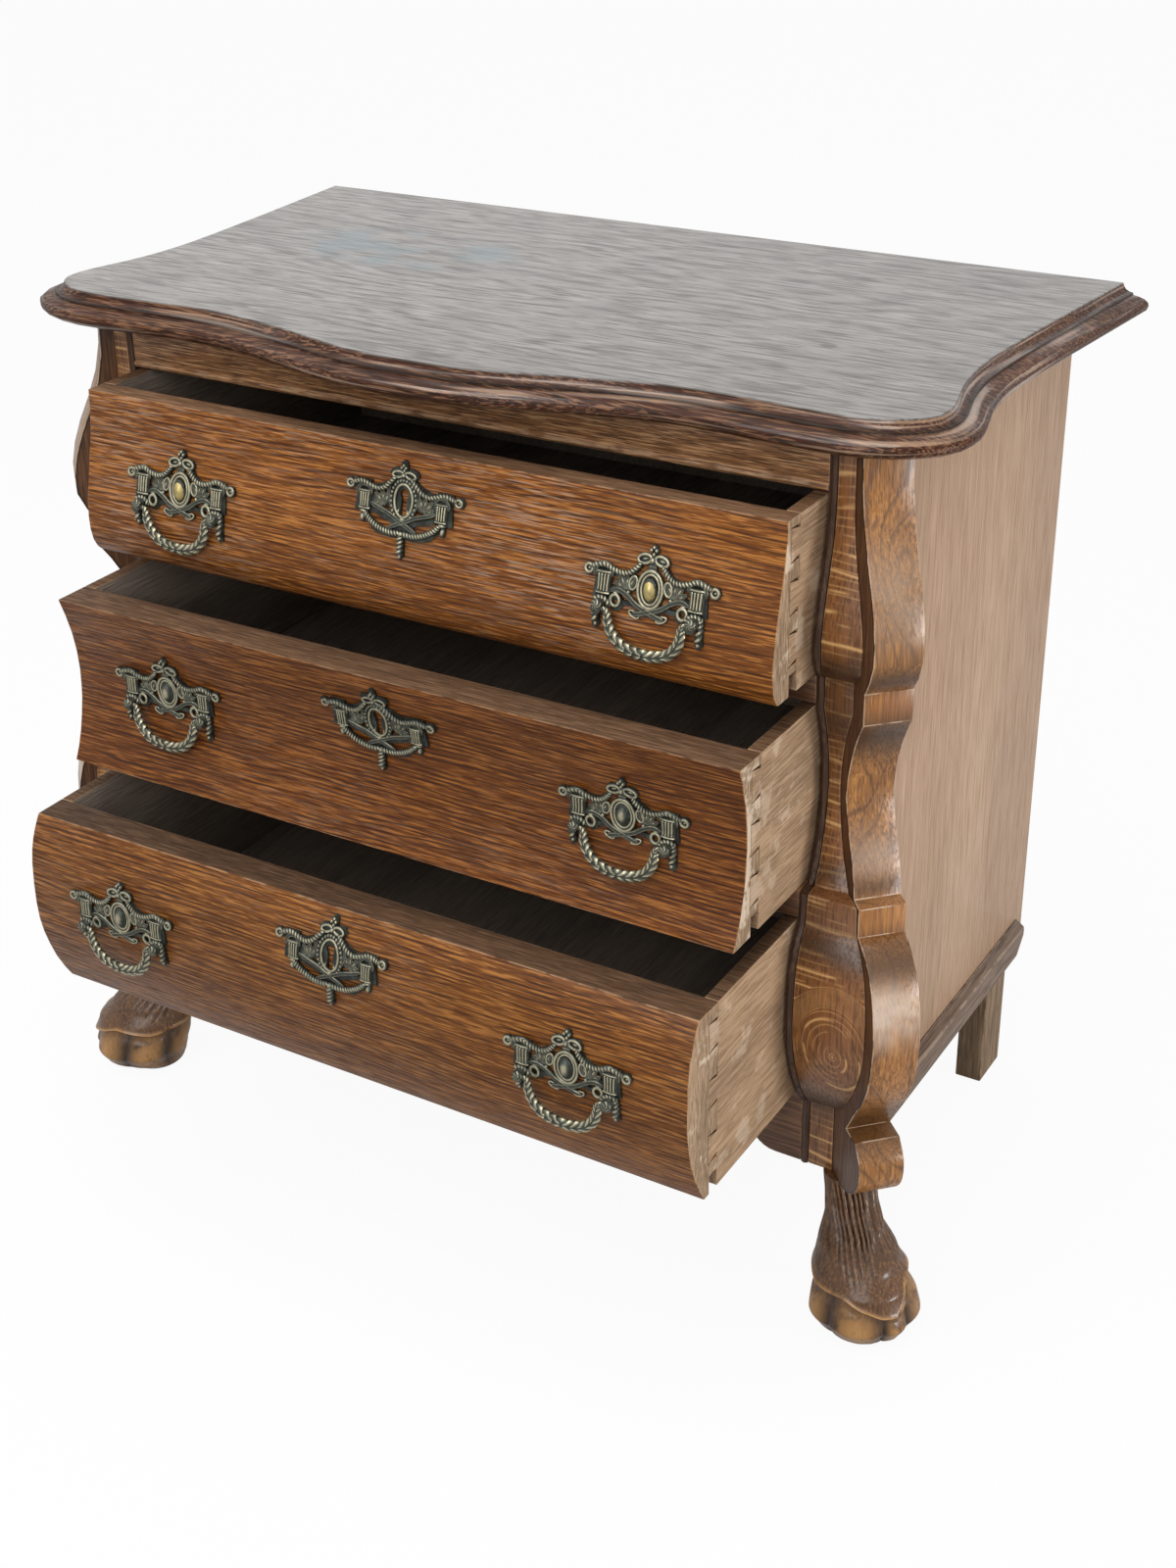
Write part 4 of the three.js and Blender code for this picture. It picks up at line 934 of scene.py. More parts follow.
@dataclass
class CarvedFoot:
    """A front foot: fluted ankle, a cap that hangs over it like a tongue, and toes.

    Its sizes are in millimetres and its place is in metres. Angles are in degrees from
    the front of the foot, and grow towards the nearer end of the chest.
    """

    bench: Bench
    side: Side
    ankle_top: float = 124.7
    front_reach: float = 83.0
    back_reach: float = 27.0
    half_width: float = 46.0
    place_x: float = 0.372
    place_y: float = 0.382
    turn_in: float = 4.0
    flutes: int = 24
    flute_depth: float = 3.0
    flute_end: float = 62.0
    flute_fade: float = 24.0
    knuckle_level: float = 66.0
    knuckle_width: float = 16.0
    knuckle_rise: float = 1.2
    edge_rise: float = 1.7
    edge_width: float = 2.2
    edge_drop: float = 1.6
    lip: float = 3.6
    toe_rise: float = 4.6
    toe_sink: float = 3.2
    cap_share: float = 0.6
    under_share: float = 0.1
    grid: tuple[int, int] = (120, 288)
    shares: tuple[tuple[float, float, float, float], ...] = (
        (1, 0.13, 1, 0.48), (0.84, 0.27, 0.95, 0.475), (0.68, 0.48, 0.9, 0.51), (0.52, 0.74, 0.8, 0.69),
        (0.4, 0.92, 0.7, 0.84), (0.28, 0.98, 0.5, 0.96), (0.16, 1, 0.3, 1), (0.064, 0.92, 0.2, 0.85),
        (0, 0.66, 0.1, 0.71),
    )
    cap_edge: tuple[tuple[float, float], ...] = (
        (-180, 52), (-120, 47), (-90, 44), (-47, 49), (-20, 42), (2, 36), (18, 34), (28, 40), (38, 53),
        (62, 55), (100, 50), (140, 49), (180, 52),
    )
    toe_gaps: tuple[float, ...] = (-180, -118, -63, 2.5, 34, 98, 150, 180)

    @staticmethod
    def between(rows: Sequence[tuple[float, ...]], value: float) -> tuple[float, ...]:
        """Reads a table of rising rows at a value of its first column.

        Args:
            rows: The table.
            value: The value.

        Returns:
            The other columns there.
        """
        above = next((i for i in range(1, len(rows)) if rows[i][0] >= value), len(rows) - 1)
        low, high = rows[above - 1], rows[above]
        t = min(1.0, max(0.0, (value - low[0]) / (high[0] - low[0])))
        t = t * t * (3 - 2 * t) * 0.5 + t * 0.5
        return tuple(a + (b - a) * t for a, b in zip(low[1:], high[1:]))

    def section(self, level: float) -> tuple[float, float, float]:
        """Gives the foot's reach forward, its reach backward and its half width at a level."""
        front, back, half = self.between(self.shares[::-1], level / self.ankle_top)
        return self.front_reach * front, -self.back_reach * back, self.half_width * half

    def toe(self, lean: float) -> float:
        """Gives how round a toe is at an angle.

        Args:
            lean: The angle.

        Returns:
            0 in a gap, up to 1 amid a toe.
        """
        above = next(i for i in range(1, len(self.toe_gaps)) if self.toe_gaps[i] >= lean)
        low, high = self.toe_gaps[above - 1], self.toe_gaps[above]
        return math.sin(math.pi * (lean - low) / (high - low)) ** 0.7

    def ankle(self, angle: float, edge: float, t: float) -> tuple[float, float, float, float]:
        """Gives the carving of the ankle and its cap.

        Args:
            angle: The angle in radians.
            edge: The level of the cap's edge there.
            t: The share of the way down to that edge.

        Returns:
            The level, the swell, how pale the cap's edge is painted, as wear and as a painted highlight, and
            how much painted shade a flute groove gets.
        """
        level = self.ankle_top + (edge - self.ankle_top) * t
        sweep = 0.1 * math.sin(3 * angle + 1.3) + 0.05 * math.sin(7 * angle) + 0.5 * math.sin(angle) * t * t
        groove = (1 - abs(math.sin(self.flutes / 2 * (angle + sweep)))) ** 1.3
        above = level - self.flute_end - 7 * math.sin(3 * angle)
        fade = min(1.0, max(0.0, above / self.flute_fade)) * min(1.0, t * 9 + 0.1)
        rim = math.exp(-(((level - edge) / self.edge_width) ** 2))
        knuckle = math.exp(-(((level - self.knuckle_level) / self.knuckle_width) ** 2))
        swell = self.edge_rise * rim + self.knuckle_rise * knuckle - self.flute_depth * groove * fade
        # The cap's edge is painted pale, as wear and as a painted highlight, and the flute grooves get
        # painted shade.
        return level, swell, rim, 0.85 * groove * fade

    def claw(self, lean: float, edge: float, t: float) -> tuple[float, float, float, float]:
        """Gives the carving of the toes.

        Args:
            lean: The angle.
            edge: The level of the cap's edge there.
            t: The share of the way down from that edge to the floor.

        Returns:
            The level, the swell, how rubbed it is and how deep in a hollow.
        """
        under = min(1.0, t / self.under_share)
        level = (edge - self.edge_drop) * (1 - t) if t > self.under_share else edge - self.edge_drop * under
        round_toe = self.toe(lean)
        rise = math.sin(math.pi * min(1.0, t * 1.02)) ** 0.7
        swell = -self.lip * under * (1 - t) ** 3 + (self.toe_rise * round_toe - self.toe_sink) * rise
        # Painted shade in the gaps between the toes and in the groove under the cap's lip; the toe bulges are
        # painted pale, as wear and as a painted highlight.
        shade = min(1.0, 1.5 * (1 - round_toe)) * rise
        return level, swell, 0.62 * rise * round_toe**2, 0.9 * shade + 0.8 * under * (1 - t) ** 9

    def carve(self, along: float, round_share: float) -> tuple[float, float, float, float, float]:
        """Gives the carving at one corner of the skin.

        Args:
            along: The share of the way down.
            round_share: The share of the way round.

        Returns:
            The angle in radians, the level, the swell, how pale it is painted, as wear and as a painted
            highlight, and how much painted shade it gets.
        """
        angle = math.tau * round_share
        if angle > math.pi:
            angle -= math.tau
        lean = math.degrees(angle) * self.side.value
        edge = self.between(self.cap_edge, lean)[0]
        if along <= self.cap_share:
            return angle, *self.ankle(angle, edge, along / self.cap_share)
        return angle, *self.claw(lean, edge, (along - self.cap_share) / (1 - self.cap_share))

    def build(self, wood: bpy.types.Material) -> None:
        """Builds the foot in place of its node.

        Args:
            wood: The oak of the feet.
        """
        node = f"front_foot_{self.side.word}"
        rear = (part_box("side_panel_right")[1].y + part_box("side_panel_left")[1].y) / 2
        turn = math.radians(-45 if self.side is Side.RIGHT else -135)
        spot = Matrix.Translation((self.side.value * self.place_x, rear - self.place_y, 0))
        frame = spot @ Matrix.Rotation(turn, 4, "Z")

        def place(along: float, round_share: float) -> Vector:
            """Gives a corner in the chest's axes.

            Args:
                along: The share of the way down.
                round_share: The share of the way round.

            Returns:
                Its place.
            """
            angle, level, swell, _, _ = self.carve(along, round_share)
            front, back, half = self.section(level)
            x = (front + back) / 2 + ((front - back) / 2 + swell) * math.cos(angle)
            y = (half + swell) * math.sin(angle) - self.side.value * self.turn_in
            return frame @ (Vector((x, y, max(0.0, level))) * MM)

        # The skin carries pale paint for wear and highlight, and painted shade.
        layers = {"rubbed": lambda a, r: self.carve(a, r)[3], "hollow": lambda a, r: self.carve(a, r)[4]}
        made = self.bench.wrapped(f"{node}_carved", *self.grid, place, layers)
        self.bench.only(made)
        bpy.ops.object.shade_smooth_by_angle(angle=math.radians(70))
        self.bench.dress(made, "carcass", "post_oak", wood, node)


# --------------------------------------------------------------------------- drawers


@dataclass
class Drawer:
    """One drawer's woodwork: swelling front, dovetailed sides, back and bottom."""

    bench: Bench
    name: str
    looks: dict[str, bpy.types.Material]
    half_width: float = 0.322
    tail_depth: float = 0.014
    lap: float = 0.012
    arrises: tuple[float, float, float] = (0.0009, 0.0007, 0.0006)
    sharp: float = 30.0

    def build(self) -> None:
        """Dresses the drawer's boards."""
        body = f"drawer_{self.name}"
        front = self.bench.copy_of(f"{self.name}_front", f"{self.name}_front_wood")
        self.bench.soften(front, self.arrises[0], self.sharp)
        inner = max(corner.co.y for corner in front.data.vertices)

        def front_part(face: bpy.types.MeshPolygon) -> int:
            """Tells the sawn ends and the handled edges from the face.

            Args:
                face: A face of the front's mesh.

            Returns:
                The number of its material.
            """
            if abs(face.normal.x) > 0.6 and abs(face.center.x) > self.half_width - self.tail_depth:
                return 1
            edge = face.normal.z > 0.75 or face.normal.y > 0.6 or face.center.y > inner - self.lap
            return 2 if edge else 0

        self.bench.paint(front, [self.looks[look] for look in ("front", "end", "lip")], front_part)
        self.bench.dress(front, body, "front_oak", self.looks["front"], f"{self.name}_front")
        for side in Side:
            node = f"{self.name}_side_{side.word}"
            made = self.bench.copy_of(node, f"{node}_wood")
            self.bench.soften(made, self.arrises[1], self.sharp)

            def side_part(face: bpy.types.MeshPolygon, out: int = side.value) -> int:
                """Tells the handled edge and the inside from the raw outside."""
                return 2 if face.normal.z > 0.75 else int(face.normal.x * out < -0.6)

            self.bench.paint(made, [self.looks[look] for look in ("raw", "inner", "lip")], side_part)
            self.bench.dress(made, body, "raw_oak", self.looks["raw"], node)
        for part in ("back", "bottom"):
            node = f"{self.name}_{part}"
            made = self.bench.copy_of(node, f"{node}_wood")
            self.bench.soften(made, self.arrises[2], self.sharp)
            self.bench.dress(made, body, "inner_wood", self.looks["inner"], node)


@dataclass
class DrawerFace:
    """The curved face that the fittings lie on, felt along an upright line at x."""

    frame: dict
    drawer: str
    x: float
    margin: float = 0.0005
    step: float = 0.001
    reach: float = 0.004
    smoothings: int = 3
    hidden: float = 0.0025
    proudest: float = 0.006

    def __post_init__(self) -> None:
        """Feels the front board and smooths what it finds."""
        mesh = self.frame["nodes"][f"{self.drawer}_front"].data
        low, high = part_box(f"{self.drawer}_front")
        tree = BVHTree.FromPolygons(
            [corner.co for corner in mesh.vertices], [face.vertices for face in mesh.polygons],
        )
        self.low, self.high = low.z + self.margin, high.z - self.margin
        count = int((self.high - self.low) / self.step) + 1
        starts = (Vector((self.x, low.y - 0.1, self.low + i * self.step)) for i in range(count))
        self.depths = [tree.ray_cast(start, Vector((0, 1, 0)))[0].y for start in starts]
        for _ in range(self.smoothings):
            rows = zip(self.depths, self.depths[1:], self.depths[2:])
            self.depths[1:-1] = [(a + 2 * b + c) / 4 for a, b, c in rows]

    def depth(self, z: float) -> float:
        """Gives the face's y at a level.

        Args:
            z: The level.

        Returns:
            The y.
        """
        t = min(max((z - self.low) / self.step, 0.0), len(self.depths) - 1.001)
        i = int(t)
        return self.depths[i] + (self.depths[i + 1] - self.depths[i]) * (t - i)

    def point(self, x: float, z: float, proud: float) -> Vector:
        """Gives a point that stands proud of the face.

        Args:
            x: Its place across.
            z: Its level on the face.
            proud: How far it stands out.

        Returns:
            The point.
        """
        slope = (self.depth(z + self.reach) - self.depth(z - self.reach)) / (2 * self.reach)
        out = Vector((0.0, -1.0, slope)).normalized()
        return Vector((x, self.depth(z), z)) + out * proud

    def raised(self, obj: bpy.types.Object) -> bpy.types.Object:
        """Marks how far the corners of a fitting stand off the face.

        Args:
            obj: The fitting's mesh.

        Returns:
            The same mesh.
        """
        relief = obj.data.attributes.new("relief", "FLOAT", "POINT")
        for corner in obj.data.vertices:
            proud = self.depth(corner.co.z) - corner.co.y
            relief.data[corner.index].value = min(0.5, max(0.15, (proud - self.hidden) / self.proudest))
        return obj


# ------------------------------------------------------------------------------ brass

Spot = tuple[float, float]


def smooth_line(points: Sequence[Spot], share: float) -> tuple[Spot, Spot]:
    """Reads a smooth line through points.

    Args:
        points: The points in millimetres.
        share: The share of the way along.

    Returns:
        The place and the direction of length 1.
    """
    spans = len(points) - 1
    t = min(max(share, 0.0), 1.0) * spans
    i = min(int(t), spans - 1)
    t -= i
    a, b = points[max(i - 1, 0)], points[i]
    c, d = points[i + 1], points[min(i + 2, spans)]

    def read(p: float, q: float, r: float, s: float) -> tuple[float, float]:
        """Reads one coordinate between the middle two of four points.

        Args:
            p: The coordinate before them.
            q: The first one's.
            r: The second one's.
            s: The coordinate after them.

        Returns:
            The value and the slope.
        """
        m, n = (r - p) / 2, (s - q) / 2
        cube, square = 2 * q - 2 * r + m + n, 3 * r - 3 * q - 2 * m - n
        return cube * t**3 + square * t * t + m * t + q, 3 * cube * t * t + 2 * square * t + m

    (u, du), (w, dw) = read(a[0], b[0], c[0], d[0]), read(a[1], b[1], c[1], d[1])
    length = math.hypot(du, dw) or 1.0
    return (u, w), (du / length, dw / length)


@dataclass
class Ornament:
    """Cast relief, drawn flat around its own middle and then bent to a drawer's face.

    Its sizes are in millimetres. Places are u across and w upward. In every skin a corner
    has its share of the way along and its share of the way round.
    """

    bench: Bench
    sheet: float = 1.6
    seat: float = 0.15
    stand_off: float = 0.3
    boss_foot: float = 0.6
    shaft_share: float = 0.62
    parts: list[bpy.types.Object] = field(default_factory=list)

    def keep(self, made: bpy.types.Object) -> None:
        """Adds one part of the relief."""
        made.data.materials.clear()
        self.parts.append(made)

    def pair(self, points: Sequence[Spot], radius: float, turns: float, lift: float = 0.4) -> None:
        """Lays a cord and then its mirror image."""
        for sign in (1, -1):
            self.cord([(u * sign, w) for u, w in points], radius, turns, lift)

    def cord(self, points: Sequence[Spot], radius: float, turns: float, lift: float = 0.4) -> None:
        """Lays a twisted cord, or a ribbon with a groove along it.

        Args:
            points: The line.
            radius: Its radius.
            turns: The turns of its twist over the line, or 0 for a ribbon.
            lift: Its centre above the sheet, in shares of its radius.
        """

        def ridge(along: float, round_share: float) -> float:
            """Gives how far a corner is up its strand.

            Args:
                along: The share along.
                round_share: The share round.

            Returns:
                The height from 0 to 1.
            """
            angle = math.tau * round_share
            if turns:
                return abs(math.sin(angle - math.tau * turns * along)) ** 0.7
            return 1 - math.exp(-(((angle - math.pi / 2) / 0.34) ** 2))

        def place(along: float, round_share: float) -> Vector:
            """Gives a corner of the cord.

            Args:
                along: The share along.
                round_share: The share round.

            Returns:
                Its place.
            """
            (u, w), (du, dw) = smooth_line(points, along)
            angle = math.tau * round_share
            taper = min(1.0, 0.35 + 6 * min(along, 1 - along))
            r = radius * (0.66 + 0.4 * ridge(along, round_share)) * taper
            side = r * math.cos(angle)
            return Vector((u - dw * side, w + du * side, self.sheet + radius * lift + r * math.sin(angle)))

        def tone(along: float, round_share: float) -> float:
            """Gives how bright a corner is worn."""
            return ridge(along, round_share) * (0.35 + 0.65 * max(0.0, math.sin(math.tau * round_share)))

        rings = max(20, int(abs(turns) * 12), len(points) * 6)
        self.keep(self.bench.wrapped("cord", rings, 14, place, {"relief": tone}))

    def drop(self, u: float, w: float, half_u: float, half_w: float, rise: float, turn: float = 0.0) -> None:
        """Sets a rounded boss, bead or petal.

        Args:
            u: Its middle across.
            w: Its middle upward.
            half_u: Its half width.
            half_w: Its half height.
            rise: How far it stands above the sheet.
            turn: Its turn in degrees.
        """
        bpy.ops.mesh.primitive_uv_sphere_add(segments=18, ring_count=10, radius=1.0)
        made = bpy.context.object
        relief = made.data.attributes.new("relief", "FLOAT", "POINT")
        spin = Matrix.Rotation(math.radians(turn), 3, "Z")
        for corner in made.data.vertices:
            relief.data[corner.index].value = max(0.0, corner.co.z) ** 1.5
            local = spin @ Vector((corner.co.x * half_u, corner.co.y * half_w, 0))
            lower = 0.45 if corner.co.z < 0 else 1.0
            corner.co = Vector((u + local.x, w + local.y, self.sheet + corner.co.z * rise * lower))
        self.keep(made)

    def hoop(
        self, u: float, w: float, half_u: float, half_w: float, thick: float, turn: float = 0.0,
        beads: int = 0,
    ) -> None:
        """Sets a ring, plain or beaded.

        Args:
            u: Its middle across.
            w: Its middle upward.
            half_u: Its half width to the middle of the wire.
            half_w: Its half height.
            thick: The wire's radius.
            turn: Its turn in degrees.
            beads: The number of beads round it.
        """
        spin = math.radians(turn)

        def bead(along: float) -> float:
            """Gives how far up a bead a corner is."""
            return abs(math.sin(beads * math.pi * along)) if beads else 1.0

        def place(along: float, round_share: float) -> Vector:
            """Gives a corner of the ring.

            Args:
                along: The share along the wire.
                round_share: The share round the wire.

            Returns:
                Its place.
            """
            around, angle = math.tau * along, math.tau * round_share
            r = thick * (0.75 + 0.35 * bead(along)) if beads else thick
            reach = r * math.cos(angle)
            a, b = (half_u + reach) * math.cos(around), (half_w + reach) * math.sin(around)
            turned = (a * math.cos(spin) - b * math.sin(spin), a * math.sin(spin) + b * math.cos(spin))
            return Vector((u + turned[0], w + turned[1], self.sheet + thick * 0.5 + r * math.sin(angle)))

        def tone(along: float, round_share: float) -> float:
            """Gives how bright a corner is worn."""
            return bead(along) * max(0.0, math.sin(math.tau * round_share))

        self.keep(self.bench.wrapped("hoop", max(24, beads * 5), 10, place, {"relief": tone}))

    def stud(self, u: float, w: float, radius: float, height: float, beads: int = 3) -> None:
        """Sets a turned knuckle over a post.

        Args:
            u: Its middle across.
            w: Its middle upward.
            radius: Its radius.
            height: Its height above the sheet.
            beads: The number of rings round it.
        """
        shank = 0.7

        def dome(along: float) -> float:
            """Gives the share of the way over the knuckle's rounded end."""
            return max(0.0, (along - shank) / (1 - shank))

        def place(along: float, round_share: float) -> Vector:
            """Gives a corner of the knuckle.

            Args:
                along: The share up it.
                round_share: The share round it.

            Returns:
                Its place.
            """
            angle, end, shaft = math.tau * round_share, dome(along), min(1.0, along / shank)
            ring = 0.9 + 0.12 * abs(math.sin(math.pi * beads * shaft)) ** 0.6
            twist = 0.86 + 0.2 * abs(math.sin(3 * angle + 4 * end))
            r = radius * ring * twist * math.cos(end * math.pi / 2 * 0.98)
            h = (height - radius * 0.5) * shaft + radius * 0.5 * math.sin(end * math.pi / 2)
            return Vector((u + r * math.cos(angle), w + r * math.sin(angle), self.sheet + h))

        def tone(along: float, round_share: float) -> float:
            """Gives how bright a corner is worn."""
            end = dome(along)
            return abs(math.sin(6 * math.pi * round_share + 4 * end)) if end else 0.3

        self.keep(self.bench.wrapped("stud", 30, 20, place, {"relief": tone}))

    def leaf(self, foot: Spot, lean: float, length: float, width: float) -> None:
        """Sets a leaf with a raised outline and a vein.

        Args:
            foot: Where its stalk is.
            lean: Its lean from upright in degrees, clockwise.
            length: Its length.
            width: Its width.
        """
        turn = math.radians(lean)
        along, across = (math.sin(turn), math.cos(turn)), (math.cos(turn), -math.sin(turn))

        def at(a: float, b: float) -> Spot:
            """Gives a point by its shares of length and half width."""
            return tuple(foot[i] + along[i] * a * length + across[i] * b * width / 2 for i in range(2))

        for side in (-1, 1):
            self.cord([at(0, 0), at(0.3, 0.85 * side), at(0.65, 0.8 * side), at(1, 0)], 0.95, 0, 0.9)
        middle = at(0.48, 0)
        self.drop(middle[0], middle[1], width * 0.34, length * 0.4, 1.1, -lean)

    def fluted_block(self, u: float, w: float, half_u: float, half_w: float, rise: float) -> None:
        """Sets a plain fluted block with a moulded head and foot.

        Args:
            u: Its middle across.
            w: Its middle upward.
            half_u: Its half width.
            half_w: Its half height.
            rise: How far it stands above the sheet.
        """
        bpy.ops.mesh.primitive_grid_add(x_subdivisions=36, y_subdivisions=30, size=2.0)
        made = bpy.context.object
        relief = made.data.attributes.new("relief", "FLOAT", "POINT")
        for corner in made.data.vertices:
            a, b = corner.co.x, corner.co.y
            waist = 1 - 0.16 * (1 - b * b) - 0.1 * max(0.0, -b)
            past = abs(b) - self.shaft_share
            moulding = abs(math.sin(3.4 * math.pi * past))
            flute = abs(math.sin(2.5 * math.pi * a)) ** 0.6 if past < 0 else moulding
            rim = min(1.0, (1 - abs(a)) * 9) * min(1.0, (1 - abs(b)) * 9)
            height = rise * ((0.7 + 0.3 * (1 - a * a)) * (0.5 + 0.5 * flute)) * (0.25 + 0.75 * rim)
            relief.data[corner.index].value = flute * rim
            corner.co = Vector((u + a * half_u * waist, w + b * half_w, self.sheet + height))
        solid = made.modifiers.new("body", "SOLIDIFY")
        solid.thickness, solid.offset = 1.0, -1.0
        self.bench.only(made)
        bpy.ops.object.modifier_apply(modifier=solid.name)
        self.keep(made)

    def bend(
        self, name: str, face: DrawerFace, x: float, z: float, boss: Spot | None
    ) -> bpy.types.Object:
        """Joins the parts and bends them to the drawer's face.

        Args:
            name: The name of the bent relief.
            face: The drawer's face.
            x: The middle's place across, in metres.
            z: The middle's level, in metres.
            boss: The half width and half height of a boss that is kept bright.

        Returns:
            The relief.
        """
        made = self.bench.joined(self.parts, name)
        gilt = made.data.attributes.new("gilt", "FLOAT", "POINT")
        for corner in made.data.vertices:
            u, w, h = corner.co
            if boss and math.hypot(u / boss[0], w / boss[1]) < 1.05 and h > self.sheet + self.boss_foot:
                gilt.data[corner.index].value = 1.0
            corner.co = face.point(x + u * MM, z + w * MM, (max(h, self.seat) + self.stand_off) * MM)
        self.bench.outward(made)
        bpy.ops.object.shade_smooth_by_angle(angle=math.radians(50))
        return made

    def mount(
        self, node: str, drawer: str, face: DrawerFace, x: float, z: float, brass: bpy.types.Material,
        boss: Spot | None = None,
    ) -> None:
        """Sets the relief on its pierced sheet, in place of a node.

        Args:
            node: The node, which is the sheet.
            drawer: The drawer's name.
            face: The drawer's face.
            x: The middle's place across, in metres.
            z: The middle's level, in metres.
            brass: The metal.
            boss: The half width and half height of a boss that is kept bright.
        """
        base = face.raised(self.bench.copy_of(node, f"{node}_base"))
        made = self.bend(f"{node}_relief", face, x, z, boss)
        whole = self.bench.joined([made, base], f"{node}_cast")
        self.bench.dress(whole, f"drawer_{drawer}", "brass", brass, node)


@dataclass
class HandlePlate:
    """A pierced handle plate with its boss, swags, ribbons and tassels."""

    bench: Bench
    drawer: str
    side: Side
    x: float
    z: float
    boss: Spot = (5.4, 8.8)

    def draw(self, cast: Ornament) -> None:
        """Draws the relief.

        Args:
            cast: The ornament to draw in.
        """
        cast.drop(0, 0, *self.boss, 6.2)
        cast.hoop(0, 0, 7.4, 10.8, 1.3)
        cast.hoop(0, 0, 10.1, 13.4, 1.6)
        cast.cord([(-3.6, 15.4), (3.6, 15.4)], 1.6, 0)
        cast.cord([(-3.0, 17.8), (3.0, 17.8)], 1.4, 0)
        cast.drop(0, 21, 2.6, 3.0, 3.8)
        for u, w in ((-2.1, 28.2), (2.1, 28.2), (0, 30.4)):
            cast.drop(u, w, 1.9, 2.1, 3.2)
        cast.drop(0, 25.2, 1.8, 2.2, 2.6)
        swag = [(8.5, 18.4), (12, 14), (17.4, 9.6), (24, 8.2), (31, 9.6), (38, 12), (46, 10.4), (50, 8)]
        cast.pair(swag, 2.4, 9, 0.75)
        ribbon = [(33, -6.2), (26, -4.2), (18, -7), (10, -12.4), (0, -16.2), (-8, -18.6), (-13, -19.8)]
        cast.pair(ribbon, 2.1, 0, 0.5)
        for sign in (-1, 1):
            cast.hoop(7.0 * sign, 21.2, 5.4, 3.2, 1.5, -12 * sign)
            cast.drop(7.0 * sign, 21.2, 3.4, 1.4, 0.9, -12 * sign)
            cast.hoop(11.4 * sign, -19.6, 4.4, 2.0, 1.1, 22 * sign)
            cast.hoop(14.4 * sign, 2.6, 3.0, 5.0, 1.2, 12 * sign)
            cast.drop(17.4 * sign, -4.6, 1.9, 1.7, 2.6)
            for lean, length in ((-30, 13.5), (2, 12.5), (32, 14.5), (62, 12)):
                cast.leaf((19.4 * sign, -4.0), lean * sign, length, 4.0)
            cast.hoop(27.9 * sign, -12.4, 3.7, 4.1, 1.7)
            cast.drop(27.9 * sign, -7.2, 3.4, 2.0, 2.4, 20 * sign)
            cast.fluted_block(38.4 * sign, -1.0, 7.4, 9.8, 3.8)
            arch = [(31.5, 4), (32.4, 9), (36.5, 12.6), (42, 12), (45.6, 7.4), (45.8, 2)]
            cast.cord([(u * sign, w) for u, w in arch], 1.6, 0, 1.2)
            cast.hoop(52.0 * sign, 6.9, 3.0, 3.0, 1.6)
            cast.drop(52.0 * sign, 6.9, 1.6, 1.6, 1.4)
            cast.stud(39.0 * sign, -17.0, 4.7, 11.4)
            knot = [(31, -17.6), (35, -13.2), (40, -12.2), (45.4, -14)]
            cast.cord([(u * sign, w) for u, w in knot], 2.5, 3, 0.8)
            tassel = [(42.8, -13.0), (43.4, -20), (42.6, -30.5)]
            cast.cord([(u * sign, w) for u, w in tassel], 2.9, 2.4, 0.5)
            cast.drop(42.6 * sign, -31.6, 2.2, 2.8, 2.4)

    def build(self, face: DrawerFace, brass: bpy.types.Material) -> None:
        """Builds the plate in place of its node.

        Args:
            face: The drawer's face.
            brass: The metal.
        """
        cast = Ornament(self.bench)
        self.draw(cast)
        node = f"{self.drawer}_plate_{self.side.word}"
        kept_bright = self.boss if self.drawer == "top" else None
        cast.mount(node, self.drawer, face, self.x, self.z, brass, kept_bright)


